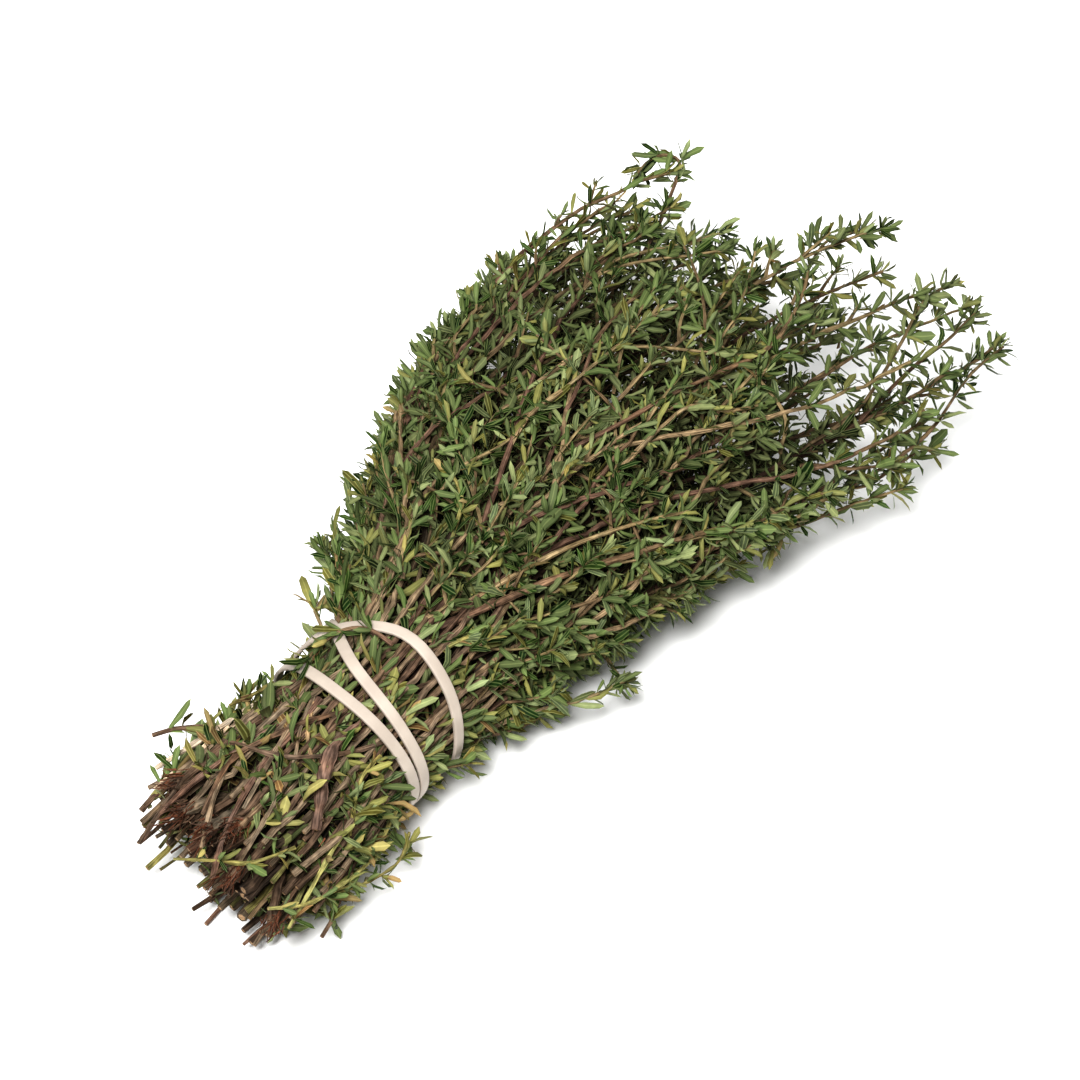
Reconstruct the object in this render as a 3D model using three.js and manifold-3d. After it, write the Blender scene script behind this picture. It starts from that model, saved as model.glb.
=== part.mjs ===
// A bunch of cut thyme lying on its side, held by a rubber band wound three times round it.
// Millimetres, +Z up. +X runs from the cut ends to the leafy tips, and +Y is the side that the fan leans to.
// Each sprig is one grown piece: a four-sided stem, its side shoots and its leaves, joined in one solid.
import * as THREE from "three";
import Module from "manifold-3d";

const wasm = await Module();
wasm.setup();

// ---------------------------------------------------------------- driving dimensions

// The cut ends: their x in the middle of the bunch, how much further in they lie across it and up it, and how
// much one differs from the next, few of them by much.
const CUT_END = { middleX: -115.7, across: 3, up: 1.5, spread: 14, evenness: 1.5 };
const TIE_X = -62; // the middle of the band's turns
const MAIN_TIP_X = 90; // where most sprigs end
const TIP_SPREAD = 10;
const LEFT_SIDE_SHORT = 24; // how much shorter the sprigs on the +Y side are
const LOW_CORNER = { shorter: 105, above: 0.1, beside: 0.2 }; // low on the -Y side, and where it starts

// The bunch's section at stations along X, between stem axes: x, middle y, half width, middle z, half height.
const SECTIONS = [
  [-140, 3.0, 22.0, 14.5, 12.5],
  [-120, 1.5, 21.5, 17.0, 14.5],
  [-100, 0.5, 20.5, 19.2, 15.8],
  [-80, -0.3, 18.4, 21.0, 17.0],
  [-60, -1.0, 16.3, 21.8, 17.2],
  [-40, 1.0, 20.0, 23.0, 18.6],
  [-20, 4.5, 29.5, 25.0, 21.0],
  [0, 6.0, 38.0, 27.3, 23.3],
  [20, 6.0, 42.5, 28.6, 24.8],
  [40, 4.5, 46.5, 29.0, 24.5],
  [60, 1.5, 49.5, 29.3, 24.0],
  [80, -4.0, 50.0, 30.0, 23.5],
  [100, -13.0, 47.0, 31.5, 23.0],
  [120, -24.0, 40.0, 33.0, 20.0],
];

const STEM_COUNT = 43; // stems in the bunch, leafy and bare
const BARE_STEMS = [4, 7, 12, 17, 19, 22, 24, 27, 32]; // the bare woody ones, counted from the middle out
const GOLDEN_ANGLE = Math.PI * (3 - Math.sqrt(5));

// Tips of the sprigs that stand out of the fan, and cut ends that stand out of the bunch.
const LONG_TIPS = [
  [113, -53, 32],
  [114, -44, 39],
  [104, -36, 47],
  [105, -17, 54],
  [104, -24, 46],
  [96, 33, 50],
  [81, 40, 47],
];
const STRAY_ENDS = [
  [-101, 29, 31],
  [-117, 21, 14],
  [-118, -12, 6],
  [-107, -23, 9],
];
const LONG_TIP_BEND_X = 20; // the long tips leave the fan's lines from here
const STRAY_END_BEND_X = -80; // and the stray ends from here

const STEM_RADIUS = 1.25; // at the cut end, axis to corner
const STEM_TIP_RADIUS = 0.6;
const STEM_STEPS = 9;
const BARE_STEM = { radius: 1.9, endX: -18, endSpread: 14, steps: 6, thinTo: 0.55 };
const SWAY = { across: 1.2, up: 0.72, length: 17, calmNearTie: 60 }; // how far a stem wanders off its line

const LEAF = { length: 8.3, width: 2.9, thick: 0.9, sizeSpread: 0.15, widestAt: 0.48 };
const PAIR_SPACING = 19; // between leaf pairs along a stem
const PAIRS_FROM_TIP = 9; // from a stem's tip back to its last pair
const COVERED = 0.83; // further in than this share of the bunch's section, only a sprig's end is leafy
const LEAFY_END = 20;
const LEAFY_FROM_X = -106;
const TIE_CLEAR = 17; // no leaf pair this near the middle of the tie
const LEAF_ANGLES = [52, 38, 66, 28]; // from the stem, in degrees, the first that is clear being taken
const LEAF_TURNS = [0, 20, -20, 45, -45]; // round the stem, from the middle of its flat side
const TUFT_ANGLES = [28, 40, 16]; // of the two leaves at a tip
const TUFT = { size: 0.92, sunk: 0.6, nextPair: 4 };
const OWN_LEAF_GAP = 0.05; // between leaves of one sprig

const SHOOTS_FROM_X = -46;
const SHOOT = { length: 22, radius: 0.66, angle: 45, elbow: 0.45, straighten: 0.45 };
const SHOOT_SPREAD = { size: 0.3, swing: 0.6 };
const SHOOT_ROW = { spacing: 29, first: 0.6, firstSpread: 0.5, shorterAtBase: 0.6 }; // first: in spacings
const SHOOT_TURNS = [0, 35, -35, 70, -70];
const SHOOT_SIZES = [1, 0.75];
const OWN_SHOOT_GAP = 1; // between shoots of one sprig

const BAND = { width: 2.9, thick: 1.0, halfWidth: 21.5, middleZ: 21.8, halfHeight: 21.9, stepsPerTurn: 28 };
// The band's x at each eighth of a turn, for its three turns, each from the +Y side over the top.
const BAND_TURNS = [
  [-64.4, -61.5, -50.8, -51.8, -55.0, -55.0, -53.0, -51.0],
  [-50.0, -55.5, -65.0, -67.6, -67.2, -67.2, -67.4, -66.5],
  [-68.2, -69.8, -72.4, -71.8, -70.6, -70.6, -71.0, -70.6],
];
// Where a turn passes over another: which turn, how many degrees round it, over how many degrees either way it
// is fully off the turn below, and over how many more it comes back down.
const BAND_CROSSINGS = [
  [0, 58, 8, 18],
  [2, 338, 18, 16],
];
const BAND_LIFT = 1.5; // off the turn below, middle to middle

const GAP = 0.3; // air between pieces that touch
const NEARLY_ZERO = 1e-4; // the squared length under which two directions are taken as one
const UNDER_MIDDLE = new THREE.Vector3(1, 0.6, 0); // the frame's origin, in the coordinates used above
const FULL_TURN = 2 * Math.PI;

// What the draws are for. A shoot or a leaf adds its own number to the last three.
const DRAWS = {
  tip: 1,
  swayAcross: 2,
  swayUp: 3,
  start: 4,
  turn: 5,
  firstShoot: 6,
  shoot: 100,
  shootTurn: 150,
  leaf: 200,
};

const SPRIG_GREENS = [0x4f6138, 0x5c6c41, 0x465a32, 0x66724b];
const BARK_BROWNS = [0x6a5144, 0x5b463b];
const BAND_COLOUR = 0xe3d3c4;

// ---------------------------------------------------------------- small helpers

const radians = THREE.MathUtils.degToRad;
const vec = (x, y, z) => new THREE.Vector3(x, y, z);
const smooth = (t) => THREE.MathUtils.smoothstep(t, 0, 1);

// A repeatable draw from 0 to 1, by what it is for.
function draw(item, what) {
  const s = Math.sin(item * 12.9898 + what * 78.233 + 4.137) * 43758.5453;
  return s - Math.floor(s);
}
const spread = (amount, item, what) => amount * (2 * draw(item, what) - 1);

// Catmull-Rom between four neighbouring values.
function between(a, b, c, d, t) {
  return 0.5 * (2 * b + (c - a) * t + (2 * a - 5 * b + 4 * c - d) * t * t + (3 * b - a - 3 * c + d) * t ** 3);
}

// The bunch's section at x: middle y, half width, middle z, half height.
function sectionAt(x) {
  const rows = SECTIONS;
  const at = THREE.MathUtils.clamp((x - rows[0][0]) / (rows[1][0] - rows[0][0]), 1, rows.length - 1.001);
  const i = Math.floor(at);
  const near = [rows[i - 1], rows[i], rows[i + 1], rows[Math.min(i + 2, rows.length - 1)]];
  return [1, 2, 3, 4].map((k) => between(...near.map((row) => row[k]), at - i));
}

// Two directions square to a stem's direction, the first one level.
function sideways(direction) {
  const level = vec(-direction.y, direction.x, 0).normalize();
  return [level, vec().crossVectors(direction, level)];
}

function directionAt(path, i) {
  return vec().subVectors(path[Math.min(i + 1, path.length - 1)], path[Math.max(i - 1, 0)]).normalize();
}

// ---------------------------------------------------------------- convex pieces, and whether two are clear

// points, with faces as lists of their numbers, counter-clockwise from outside.
function convexPiece(points, faces) {
  const centre = points.reduce((sum, p) => sum.add(p), vec()).divideScalar(points.length);
  const reach = Math.max(...points.map((p) => p.distanceTo(centre)));
  const side = (a, b) => vec().subVectors(points[b], points[a]);
  const normals = faces.map(([a, b, c]) => vec().crossVectors(side(a, b), side(a, c)).normalize());
  const edges = [];
  for (const face of faces)
    face.forEach((a, k) => {
      const b = face[(k + 1) % face.length];
      if (a < b) edges.push(side(a, b).normalize());
    });
  return { points, faces, centre, reach, normals, edges };
}

function apartAlong(axis, a, b) {
  let [lowA, highA, lowB, highB] = [Infinity, -Infinity, Infinity, -Infinity];
  for (const p of a.points) {
    const d = axis.dot(p);
    lowA = Math.min(lowA, d);
    highA = Math.max(highA, d);
  }
  for (const p of b.points) {
    const d = axis.dot(p);
    lowB = Math.min(lowB, d);
    highB = Math.max(highB, d);
  }
  return Math.max(lowB - highA, lowA - highB);
}

function isClear(a, b, gap) {
  if (a.centre.distanceTo(b.centre) > a.reach + b.reach + gap) return true;
  for (const n of a.normals) if (apartAlong(n, a, b) > gap) return true;
  for (const n of b.normals) if (apartAlong(n, a, b) > gap) return true;
  const axis = vec();
  for (const ea of a.edges)
    for (const eb of b.edges) {
      axis.crossVectors(ea, eb);
      if (axis.lengthSq() > NEARLY_ZERO && apartAlong(axis.normalize(), a, b) > gap) return true;
    }
  return false;
}

// Pieces that nothing new may cross, each with the stem that it belongs to.
const placed = [];
function place(piece, owner) {
  placed.push({ piece, owner });
}
function fits(piece, owner) {
  return piece.points.every((p) => p.z >= 0) &&
    placed.every((other) => other.owner === owner || isClear(piece, other.piece, GAP));
}

// ---------------------------------------------------------------- stems, shoots and leaves as convex pieces

const LEAF_FACES = [[0, 2, 1], [3, 1, 2], [0, 3, 2], [0, 1, 3]];

// A stem's square sections, with corners at its turn and a flat side half-way between two corners.
function tubeRings(path, radiusAt, turn) {
  return path.map((p, i) => {
    const [level, up] = sideways(directionAt(path, i));
    const r = radiusAt(i / (path.length - 1));
    return [0, 1, 2, 3].map((k) => {
      const a = turn + (k * Math.PI) / 2;
      return p.clone().addScaledVector(level, r * Math.cos(a)).addScaledVector(up, r * Math.sin(a));
    });
  });
}

// The faces of a row of four-cornered sections, which has two ends or is closed on itself.
function ringFaces(count, closed) {
  const last = 4 * count - 4;
  const faces = closed ? [] : [[3, 2, 1, 0], [last, last + 1, last + 2, last + 3]];
  for (let i = 0; i < (closed ? count : count - 1); i++)
    for (let k = 0; k < 4; k++) {
      const [a, b] = [i * 4 + k, i * 4 + ((k + 1) % 4)];
      faces.push([a, b, (b + 4) % (count * 4), (a + 4) % (count * 4)]);
    }
  return faces;
}

const tubePieces = (rings) =>
  rings.slice(1).map((ring, i) => convexPiece([...rings[i], ...ring], ringFaces(2, false)));

// A closed solid from points and faces, each face a fan of triangles.
function solidOf(points, faces) {
  const fan = (face) => face.slice(2).flatMap((_, k) => [face[0], face[k + 1], face[k + 2]]);
  const triVerts = new Uint32Array(faces.flatMap(fan));
  const vertProperties = new Float32Array(points.flatMap((p) => [p.x, p.y, p.z]));
  return new wasm.Manifold(new wasm.Mesh({ numProp: 3, vertProperties, triVerts }));
}

const ringSolid = (rings, closed) => solidOf(rings.flat(), ringFaces(rings.length, closed));

// A leaf is an arched, keeled blade. It starts on the stem's axis, so that its root is sunk in the stem.
function leafPiece(root, along, across, up, size) {
  const [length, width] = [LEAF.length * size, LEAF.width * size];
  const middle = root.clone().addScaledVector(along, length * LEAF.widestAt).addScaledVector(up, LEAF.thick);
  const left = middle.clone().addScaledVector(across, width / 2);
  const right = middle.clone().addScaledVector(across, -width / 2);
  const tip = root.clone().addScaledVector(along, length);
  tip.z = Math.max(tip.z, 0); // a leaf that the bunch lies on is pressed flat
  return convexPiece([root, left, right, tip], LEAF_FACES);
}

// The direction at an angle from a stem and at a turn round it, with the two that a blade lies on.
function leafFrame(direction, angle, turn) {
  const [level, up] = sideways(direction);
  const out = level.multiplyScalar(Math.cos(turn)).addScaledVector(up, Math.sin(turn));
  const along = direction.clone().multiplyScalar(Math.cos(angle)).addScaledVector(out, Math.sin(angle));
  const across = vec().crossVectors(direction, out).normalize();
  return [along, across, vec().crossVectors(across, along).negate()];
}

// Deep in the bunch, away from the sprig's tip.
function isCovered(point, sprig) {
  const [middleY, halfWidth, middleZ, halfHeight] = sectionAt(point.x);
  const out = Math.hypot((point.y - middleY) / halfWidth, (point.z - middleZ) / halfHeight);
  return out < COVERED && point.distanceTo(sprig.path[sprig.path.length - 1]) > LEAFY_END;
}

function growLeaf(sprig, root, direction, angles, turn, size, item) {
  const length = size * (1 + spread(LEAF.sizeSpread, sprig.id, item));
  for (const swing of LEAF_TURNS)
    for (const angle of angles) {
      const frame = leafFrame(direction, radians(angle), turn + radians(swing));
      const piece = leafPiece(root, ...frame, length);
      if (isCovered(piece.points[3], sprig)) continue;
      const own = sprig.leaves.every((leaf) => leaf.points[0] === root || isClear(piece, leaf, OWN_LEAF_GAP));
      if (own && fits(piece, sprig.id)) {
        sprig.leaves.push(piece);
        place(piece, sprig.id);
        return;
      }
    }
}

// ---------------------------------------------------------------- the band

const BAND_KEYS = BAND_TURNS.flat();
const wrap = (i, n) => ((i % n) + n) % n;

function bandX(turns) {
  const at = turns * 8;
  const i = Math.floor(at);
  const keys = [-1, 0, 1, 2].map((k) => BAND_KEYS[wrap(i + k, BAND_KEYS.length)]);
  return between(...keys, at - i);
}

function bandLift(turns) {
  let lift = 0;
  for (const [turn, degrees, flat, rise] of BAND_CROSSINGS) {
    const away = Math.abs(turns - turn - degrees / 360) * 360;
    lift = Math.max(lift, BAND_LIFT * (1 - smooth((away - flat) / rise)));
  }
  return lift;
}

// The band's four-cornered sections, in a closed row.
function bandRings() {
  const count = BAND_TURNS.length * BAND.stepsPerTurn;
  const [lines, normals] = [[], []];
  for (let i = 0; i < count; i++) {
    const turns = i / BAND.stepsPerTurn;
    const a = turns * FULL_TURN;
    const normal = vec(0, Math.cos(a) / BAND.halfWidth, Math.sin(a) / BAND.halfHeight).normalize();
    const p = vec(bandX(turns), BAND.halfWidth * Math.cos(a), BAND.middleZ + BAND.halfHeight * Math.sin(a));
    p.addScaledVector(normal, bandLift(turns));
    const low = p.z < BAND.thick / 2; // where it lies flat under the bunch
    lines.push(low ? p.setZ(BAND.thick / 2) : p);
    normals.push(low ? vec(0, 0, -1) : normal);
  }
  return lines.map((p, i) => {
    const along = vec().subVectors(lines[(i + 1) % count], lines[(i + count - 1) % count]).normalize();
    const side = vec().crossVectors(along, normals[i]).normalize();
    return [[1, 1], [-1, 1], [-1, -1], [1, -1]].map(([out, across]) => {
      const surface = p.clone().addScaledVector(normals[i], (out * BAND.thick) / 2);
      return surface.addScaledVector(side, (across * BAND.width) / 2);
    });
  });
}

// ---------------------------------------------------------------- the bunch

// A stem's place in the bunch's section, from -1 to 1 across and up.
function placeOf(i) {
  const r = Math.sqrt((i + 0.5) / STEM_COUNT);
  return [r * Math.cos(i * GOLDEN_ANGLE), r * Math.sin(i * GOLDEN_ANGLE)];
}

function usualTipX(i) {
  const [u, v] = placeOf(i);
  const corner = Math.max(0, -v - LOW_CORNER.above) * Math.max(0, LOW_CORNER.beside - u);
  const shorter = LEFT_SIDE_SHORT * Math.max(0, u) ** 2 + LOW_CORNER.shorter * corner;
  return MAIN_TIP_X + spread(TIP_SPREAD, i, DRAWS.tip) - shorter;
}

// The fan's line for a stem, without its sway: its point at x.
function linePoint(i, x) {
  const [u, v] = placeOf(i);
  const [middleY, halfWidth, middleZ, halfHeight] = sectionAt(x);
  return vec(x, middleY + halfWidth * u, middleZ + halfHeight * v);
}

function swayAt(i, x) {
  const free = smooth(Math.abs(x - TIE_X) / SWAY.calmNearTie);
  const wave = (what) => -free * Math.sin(x / SWAY.length + FULL_TURN * draw(i, what));
  return vec(0, SWAY.across * wave(DRAWS.swayAcross), SWAY.up * wave(DRAWS.swayUp));
}

// Each of these places goes to the nearest stem that has none of its kind.
function share(places, stems, kind) {
  for (const place of places) {
    const target = vec(...place);
    const free = stems.filter((stem) => !stem[kind]);
    const away = (stem) => linePoint(stem.id, target.x).distanceTo(target);
    free.reduce((best, stem) => (away(stem) < away(best) ? stem : best))[kind] = target;
  }
}

function usualStartX(i) {
  const [u, v] = placeOf(i);
  const further = CUT_END.spread * draw(i, DRAWS.start) ** CUT_END.evenness;
  return CUT_END.middleX + CUT_END.across * u + CUT_END.up * v + further;
}

function stemPath(stem, endX, steps) {
  const startX = stem.strayEnd ? stem.strayEnd.x : usualStartX(stem.id);
  const line = (x) => linePoint(stem.id, x).add(swayAt(stem.id, x));
  const tipShift = stem.longTip ? stem.longTip.clone().sub(line(endX)) : vec();
  const startShift = stem.strayEnd ? stem.strayEnd.clone().sub(line(startX)) : vec();
  return Array.from({ length: steps + 1 }, (_, k) => {
    const x = startX + ((endX - startX) * k) / steps;
    const toTip = smooth((x - LONG_TIP_BEND_X) / (endX - LONG_TIP_BEND_X));
    const toStart = smooth((STRAY_END_BEND_X - x) / (STRAY_END_BEND_X - startX));
    return line(x).addScaledVector(tipShift, toTip).addScaledVector(startShift, toStart);
  });
}

function growStem(stem, endX, steps, radiusAt) {
  stem.turn = draw(stem.id, DRAWS.turn) * Math.PI;
  stem.path = stemPath(stem, endX, steps);
  const rings = tubeRings(stem.path, radiusAt, stem.turn);
  const pieces = tubePieces(rings);
  if (!pieces.every((piece) => fits(piece, stem.id))) throw new Error(`stem ${stem.id} has no clear way`);
  for (const piece of pieces) place(piece, stem.id);
  stem.parts = [ringSolid(rings, false)];
}

// The point at a distance along a path, with the path's direction there.
function alongPath(path, distance) {
  let left = distance;
  for (let i = 1; i < path.length; i++) {
    const length = path[i].distanceTo(path[i - 1]);
    if (left <= length || i === path.length - 1) {
      const nearest = left < length / 2 ? i - 1 : i;
      return [path[i - 1].clone().lerp(path[i], Math.min(1, left / length)), directionAt(path, nearest)];
    }
    left -= length;
  }
}
const lengthOf = (path) => path.slice(1).reduce((sum, p, i) => sum + p.distanceTo(path[i]), 0);

function shootPath(root, direction, turn, length) {
  const [along] = leafFrame(direction, radians(SHOOT.angle), turn);
  const later = along.clone().lerp(direction, SHOOT.straighten).normalize();
  const elbow = root.clone().addScaledVector(along, length * SHOOT.elbow);
  return [root, elbow, elbow.clone().addScaledVector(later, length * (1 - SHOOT.elbow))];
}

// The turn round a stem that looks out of the bunch.
function outwardTurn(point, direction) {
  const [middleY, halfWidth, middleZ, halfHeight] = sectionAt(point.x);
  const out = vec(0, (point.y - middleY) / halfWidth ** 2, (point.z - middleZ) / halfHeight ** 2);
  const [level, up] = sideways(direction);
  return Math.atan2(out.dot(up), out.dot(level));
}

function growShoots(sprig) {
  const total = lengthOf(sprig.path);
  const spacings = SHOOT_ROW.first + SHOOT_ROW.firstSpread * draw(sprig.id, DRAWS.firstShoot);
  const first = SHOOT_ROW.spacing * spacings;
  let item = 0;
  for (let d = total - first; d > 0; d -= SHOOT_ROW.spacing) {
    const [root, direction] = alongPath(sprig.path, d);
    if (root.x < SHOOTS_FROM_X) return;
    item += 1;
    if (isCovered(root, sprig)) continue;
    const size = 1 + spread(SHOOT_SPREAD.size, sprig.id, DRAWS.shoot + item);
    const length = SHOOT.length * (1 - (SHOOT_ROW.shorterAtBase * d) / total) * size;
    const turn = outwardTurn(root, direction) + spread(SHOOT_SPREAD.swing, sprig.id, DRAWS.shootTurn + item);
    growShoot(sprig, root, direction, turn, length);
  }
}

function growShoot(sprig, root, direction, turn, length) {
  for (const size of SHOOT_SIZES)
    for (const swing of SHOOT_TURNS) {
      const path = shootPath(root, direction, turn + radians(swing), length * size);
      const rings = tubeRings(path, () => SHOOT.radius, turn);
      const pieces = tubePieces(rings);
      const ownPieces = sprig.shoots.flatMap((shoot) => shoot.pieces);
      const own = pieces.every((a) => ownPieces.every((b) => isClear(a, b, OWN_SHOOT_GAP)));
      if (own && pieces.every((piece) => fits(piece, sprig.id))) {
        sprig.shoots.push({ path, pieces, turn });
        sprig.parts.push(ringSolid(rings, false));
        for (const piece of pieces) place(piece, sprig.id);
        return;
      }
    }
}

function growLeaves(sprig) {
  let item = DRAWS.leaf;
  const pair = (root, direction, angles, turn, size) => {
    for (const side of [0, Math.PI]) {
      item += 1;
      growLeaf(sprig, root, direction, angles, turn + side, size, item);
    }
  };
  const tuft = (path, turn) => {
    const direction = directionAt(path, path.length - 1);
    const root = path[path.length - 1].clone().addScaledVector(direction, -TUFT.sunk);
    const nextRoot = root.clone().addScaledVector(direction, -TUFT.nextPair);
    pair(root, direction, TUFT_ANGLES, turn, TUFT.size);
    pair(nextRoot, direction, LEAF_ANGLES, turn + Math.PI / 2, TUFT.size);
  };
  for (const { path, turn } of [sprig, ...sprig.shoots]) tuft(path, turn + Math.PI / 4);
  let turn = sprig.turn + Math.PI / 4;
  for (let d = lengthOf(sprig.path) - PAIRS_FROM_TIP; d > 0; d -= PAIR_SPACING) {
    const [root, direction] = alongPath(sprig.path, d);
    if (root.x < LEAFY_FROM_X) return;
    turn += Math.PI / 2;
    if (Math.abs(root.x - TIE_X) > TIE_CLEAR) pair(root, direction, LEAF_ANGLES, turn, 1);
  }
}

const leafSolid = (leaf) => solidOf(leaf.points, LEAF_FACES);

// The biggest body of the pieces joined together.
function joined(parts) {
  const whole = wasm.Manifold.union(parts);
  return whole.decompose().reduce((best, body) => (body.volume() > best.volume() ? body : best));
}

// ---------------------------------------------------------------- meshes

const model = new THREE.Group();
model.name = "thyme_bundle";

function addMesh(name, solid, anchor, colour, roughness) {
  const mesh = solid.getMesh();
  const points = [];
  for (let i = 0; i < mesh.vertProperties.length; i += mesh.numProp)
    points.push(
      mesh.vertProperties[i] - anchor.x,
      mesh.vertProperties[i + 1] - anchor.y,
      mesh.vertProperties[i + 2] - anchor.z,
    );
  const geometry = new THREE.BufferGeometry();
  geometry.setAttribute("position", new THREE.Float32BufferAttribute(points, 3));
  geometry.setIndex([...mesh.triVerts]);
  const material = new THREE.MeshStandardMaterial({ color: colour, roughness, metalness: 0 });
  const piece = new THREE.Mesh(geometry, material);
  piece.name = name;
  piece.position.copy(anchor).sub(UNDER_MIDDLE);
  model.add(piece);
}

const number = (n) => String(n).padStart(2, "0");

const band = bandRings();
for (const piece of tubePieces([...band, band[0]])) place(piece, "band");

const bare = [];
const sprigs = [];
for (let id = 0; id < STEM_COUNT; id++)
  if (BARE_STEMS.includes(id)) bare.push({ id });
  else sprigs.push({ id, leaves: [], shoots: [] });

share(LONG_TIPS, sprigs, "longTip");
share(STRAY_ENDS, [...bare, ...sprigs], "strayEnd");
for (const stem of bare) {
  const endX = BARE_STEM.endX + spread(BARE_STEM.endSpread, stem.id, DRAWS.tip);
  growStem(stem, endX, BARE_STEM.steps, (t) => BARE_STEM.radius * (1 - (1 - BARE_STEM.thinTo) * t));
}
for (const sprig of sprigs) {
  const endX = sprig.longTip ? sprig.longTip.x : usualTipX(sprig.id);
  growStem(sprig, endX, STEM_STEPS, (t) => STEM_RADIUS + (STEM_TIP_RADIUS - STEM_RADIUS) * t);
}
for (const sprig of sprigs) growShoots(sprig);
for (const sprig of sprigs) growLeaves(sprig);

addMesh("rubber_band", ringSolid(band, true), vec(bandX(0.75), 0, 0), BAND_COLOUR, 0.6);
bare.forEach((stem, k) => {
  addMesh(`woody_stem_${number(k + 1)}`, joined(stem.parts), stem.path[0], BARK_BROWNS[k % 2], 0.85);
});
sprigs.forEach((sprig, k) => {
  const whole = joined([...sprig.parts, ...sprig.leaves.map(leafSolid)]);
  addMesh(`sprig_${number(k + 1)}`, whole, sprig.path[0], SPRIG_GREENS[k % SPRIG_GREENS.length], 0.8);
});

export default model;
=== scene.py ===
import math
import random

import bmesh
import bpy
import numpy as np
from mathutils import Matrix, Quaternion, Vector


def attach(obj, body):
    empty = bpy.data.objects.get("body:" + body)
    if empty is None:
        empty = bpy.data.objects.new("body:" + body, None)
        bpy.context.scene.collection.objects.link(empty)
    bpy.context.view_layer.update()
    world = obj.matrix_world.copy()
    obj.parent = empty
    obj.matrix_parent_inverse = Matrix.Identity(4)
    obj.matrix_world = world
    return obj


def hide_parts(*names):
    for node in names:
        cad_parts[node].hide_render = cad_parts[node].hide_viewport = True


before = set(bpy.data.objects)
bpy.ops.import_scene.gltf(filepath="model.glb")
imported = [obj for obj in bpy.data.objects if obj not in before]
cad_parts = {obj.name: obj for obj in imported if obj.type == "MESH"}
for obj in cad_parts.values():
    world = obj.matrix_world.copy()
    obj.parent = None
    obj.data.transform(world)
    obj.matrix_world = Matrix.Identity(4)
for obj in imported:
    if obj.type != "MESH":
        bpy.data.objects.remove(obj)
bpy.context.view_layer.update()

# A bunch of cut thyme, tied with a rubber band. The rule that lays the stems out is the frame's own. It is in
# millimetres, with +X from the cut ends to the tips and +Z up, and MM turns it into metres in the meshes.

MM = 0.001
UNDER_MIDDLE = Vector((1.0, 0.6, 0.0))  # the frame's origin, in the rule's coordinates
FULL_TURN = 2 * math.pi

# ---------------- camera, light and floor

# Angles in degrees, distances and sizes in metres.
LOOK_AT = Vector((-1.429, -2.055, 27.237)) * MM
LOOK_FROM = {"azimuth": -51.3, "elevation": 52.0, "distance": 0.9922}
LENS = 140.74
SENSOR_WIDTH = 36.0
MAIN_LIGHT = {"azimuth": -71, "elevation": 62, "distance": 0.9, "size": 0.34, "watts": 15.0}
TIP_LIGHT = {"azimuth": 85, "elevation": 36, "distance": 1.1, "size": 0.8, "watts": 7.0}
SKY_STRENGTH = 0.14
FLOOR_SIZE = 4.0


def aim(thing, azimuth, elevation, distance):
    """Places a camera or light round the bunch, so that it looks at it."""
    azimuth, elevation = math.radians(azimuth), math.radians(elevation)
    level = math.cos(elevation)
    back = Vector((math.sin(azimuth) * level, -math.cos(azimuth) * level, math.sin(elevation)))
    thing.location = LOOK_AT + back * distance
    thing.rotation_euler = (-back).to_track_quat("-Z", "Y").to_euler()


def add_camera():
    bpy.ops.object.camera_add()
    camera = bpy.context.object
    aim(camera, **LOOK_FROM)
    camera.data.lens = LENS
    camera.data.sensor_width = SENSOR_WIDTH
    bpy.context.scene.camera = camera


def add_soft_light(azimuth, elevation, distance, size, watts):
    bpy.ops.object.light_add(type="AREA")
    light = bpy.context.object
    aim(light, azimuth, elevation, distance)
    light.data.shape = "SQUARE"
    light.data.size = size
    light.data.energy = watts


def add_studio():
    """A plain pale floor under soft light."""
    world = bpy.data.worlds.new("studio")
    world.use_nodes = True
    sky = world.node_tree.nodes["Background"]
    sky.inputs["Color"].default_value = (1.0, 1.0, 1.0, 1.0)
    sky.inputs["Strength"].default_value = SKY_STRENGTH
    bpy.context.scene.world = world
    bpy.context.scene.view_settings.view_transform = "Standard"
    bpy.context.scene.view_settings.look = "Medium High Contrast"
    add_soft_light(**MAIN_LIGHT)
    add_soft_light(**TIP_LIGHT)
    bpy.ops.mesh.primitive_plane_add(size=FLOOR_SIZE)
    floor = bpy.context.object
    floor.name = "table_top"
    floor.data.materials.append(Nodes("white_paper").surface((0.93, 0.93, 0.92, 1.0), 0.9, 0.5))


# ---------------- how the stems lie in the bunch

CUT_END = {"middle_x": -115.7, "across": 3.0, "up": 1.5, "spread": 14.0, "evenness": 1.5}
TIE_X = -62.0
MAIN_TIP_X = 90.0
TIP_SPREAD = 10.0
LEFT_SIDE_SHORT = 24.0
LOW_CORNER = {"shorter": 105.0, "above": 0.1, "beside": 0.2}

# The bunch's section at stations along X, between stem axes: x, middle y, half width, middle z, half height.
SECTIONS = [
    (-140, 3.0, 22.0, 14.5, 12.5),
    (-120, 1.5, 21.5, 17.0, 14.5),
    (-100, 0.5, 20.5, 19.2, 15.8),
    (-80, -0.3, 18.4, 21.0, 17.0),
    (-60, -1.0, 16.3, 21.8, 17.2),
    (-40, 1.0, 20.0, 23.0, 18.6),
    (-20, 4.5, 29.5, 25.0, 21.0),
    (0, 6.0, 38.0, 27.3, 23.3),
    (20, 6.0, 42.5, 28.6, 24.8),
    (40, 4.5, 46.5, 29.0, 24.5),
    (60, 1.5, 49.5, 29.3, 24.0),
    (80, -4.0, 50.0, 30.0, 23.5),
    (100, -13.0, 47.0, 31.5, 23.0),
    (120, -24.0, 40.0, 33.0, 20.0),
]

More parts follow.
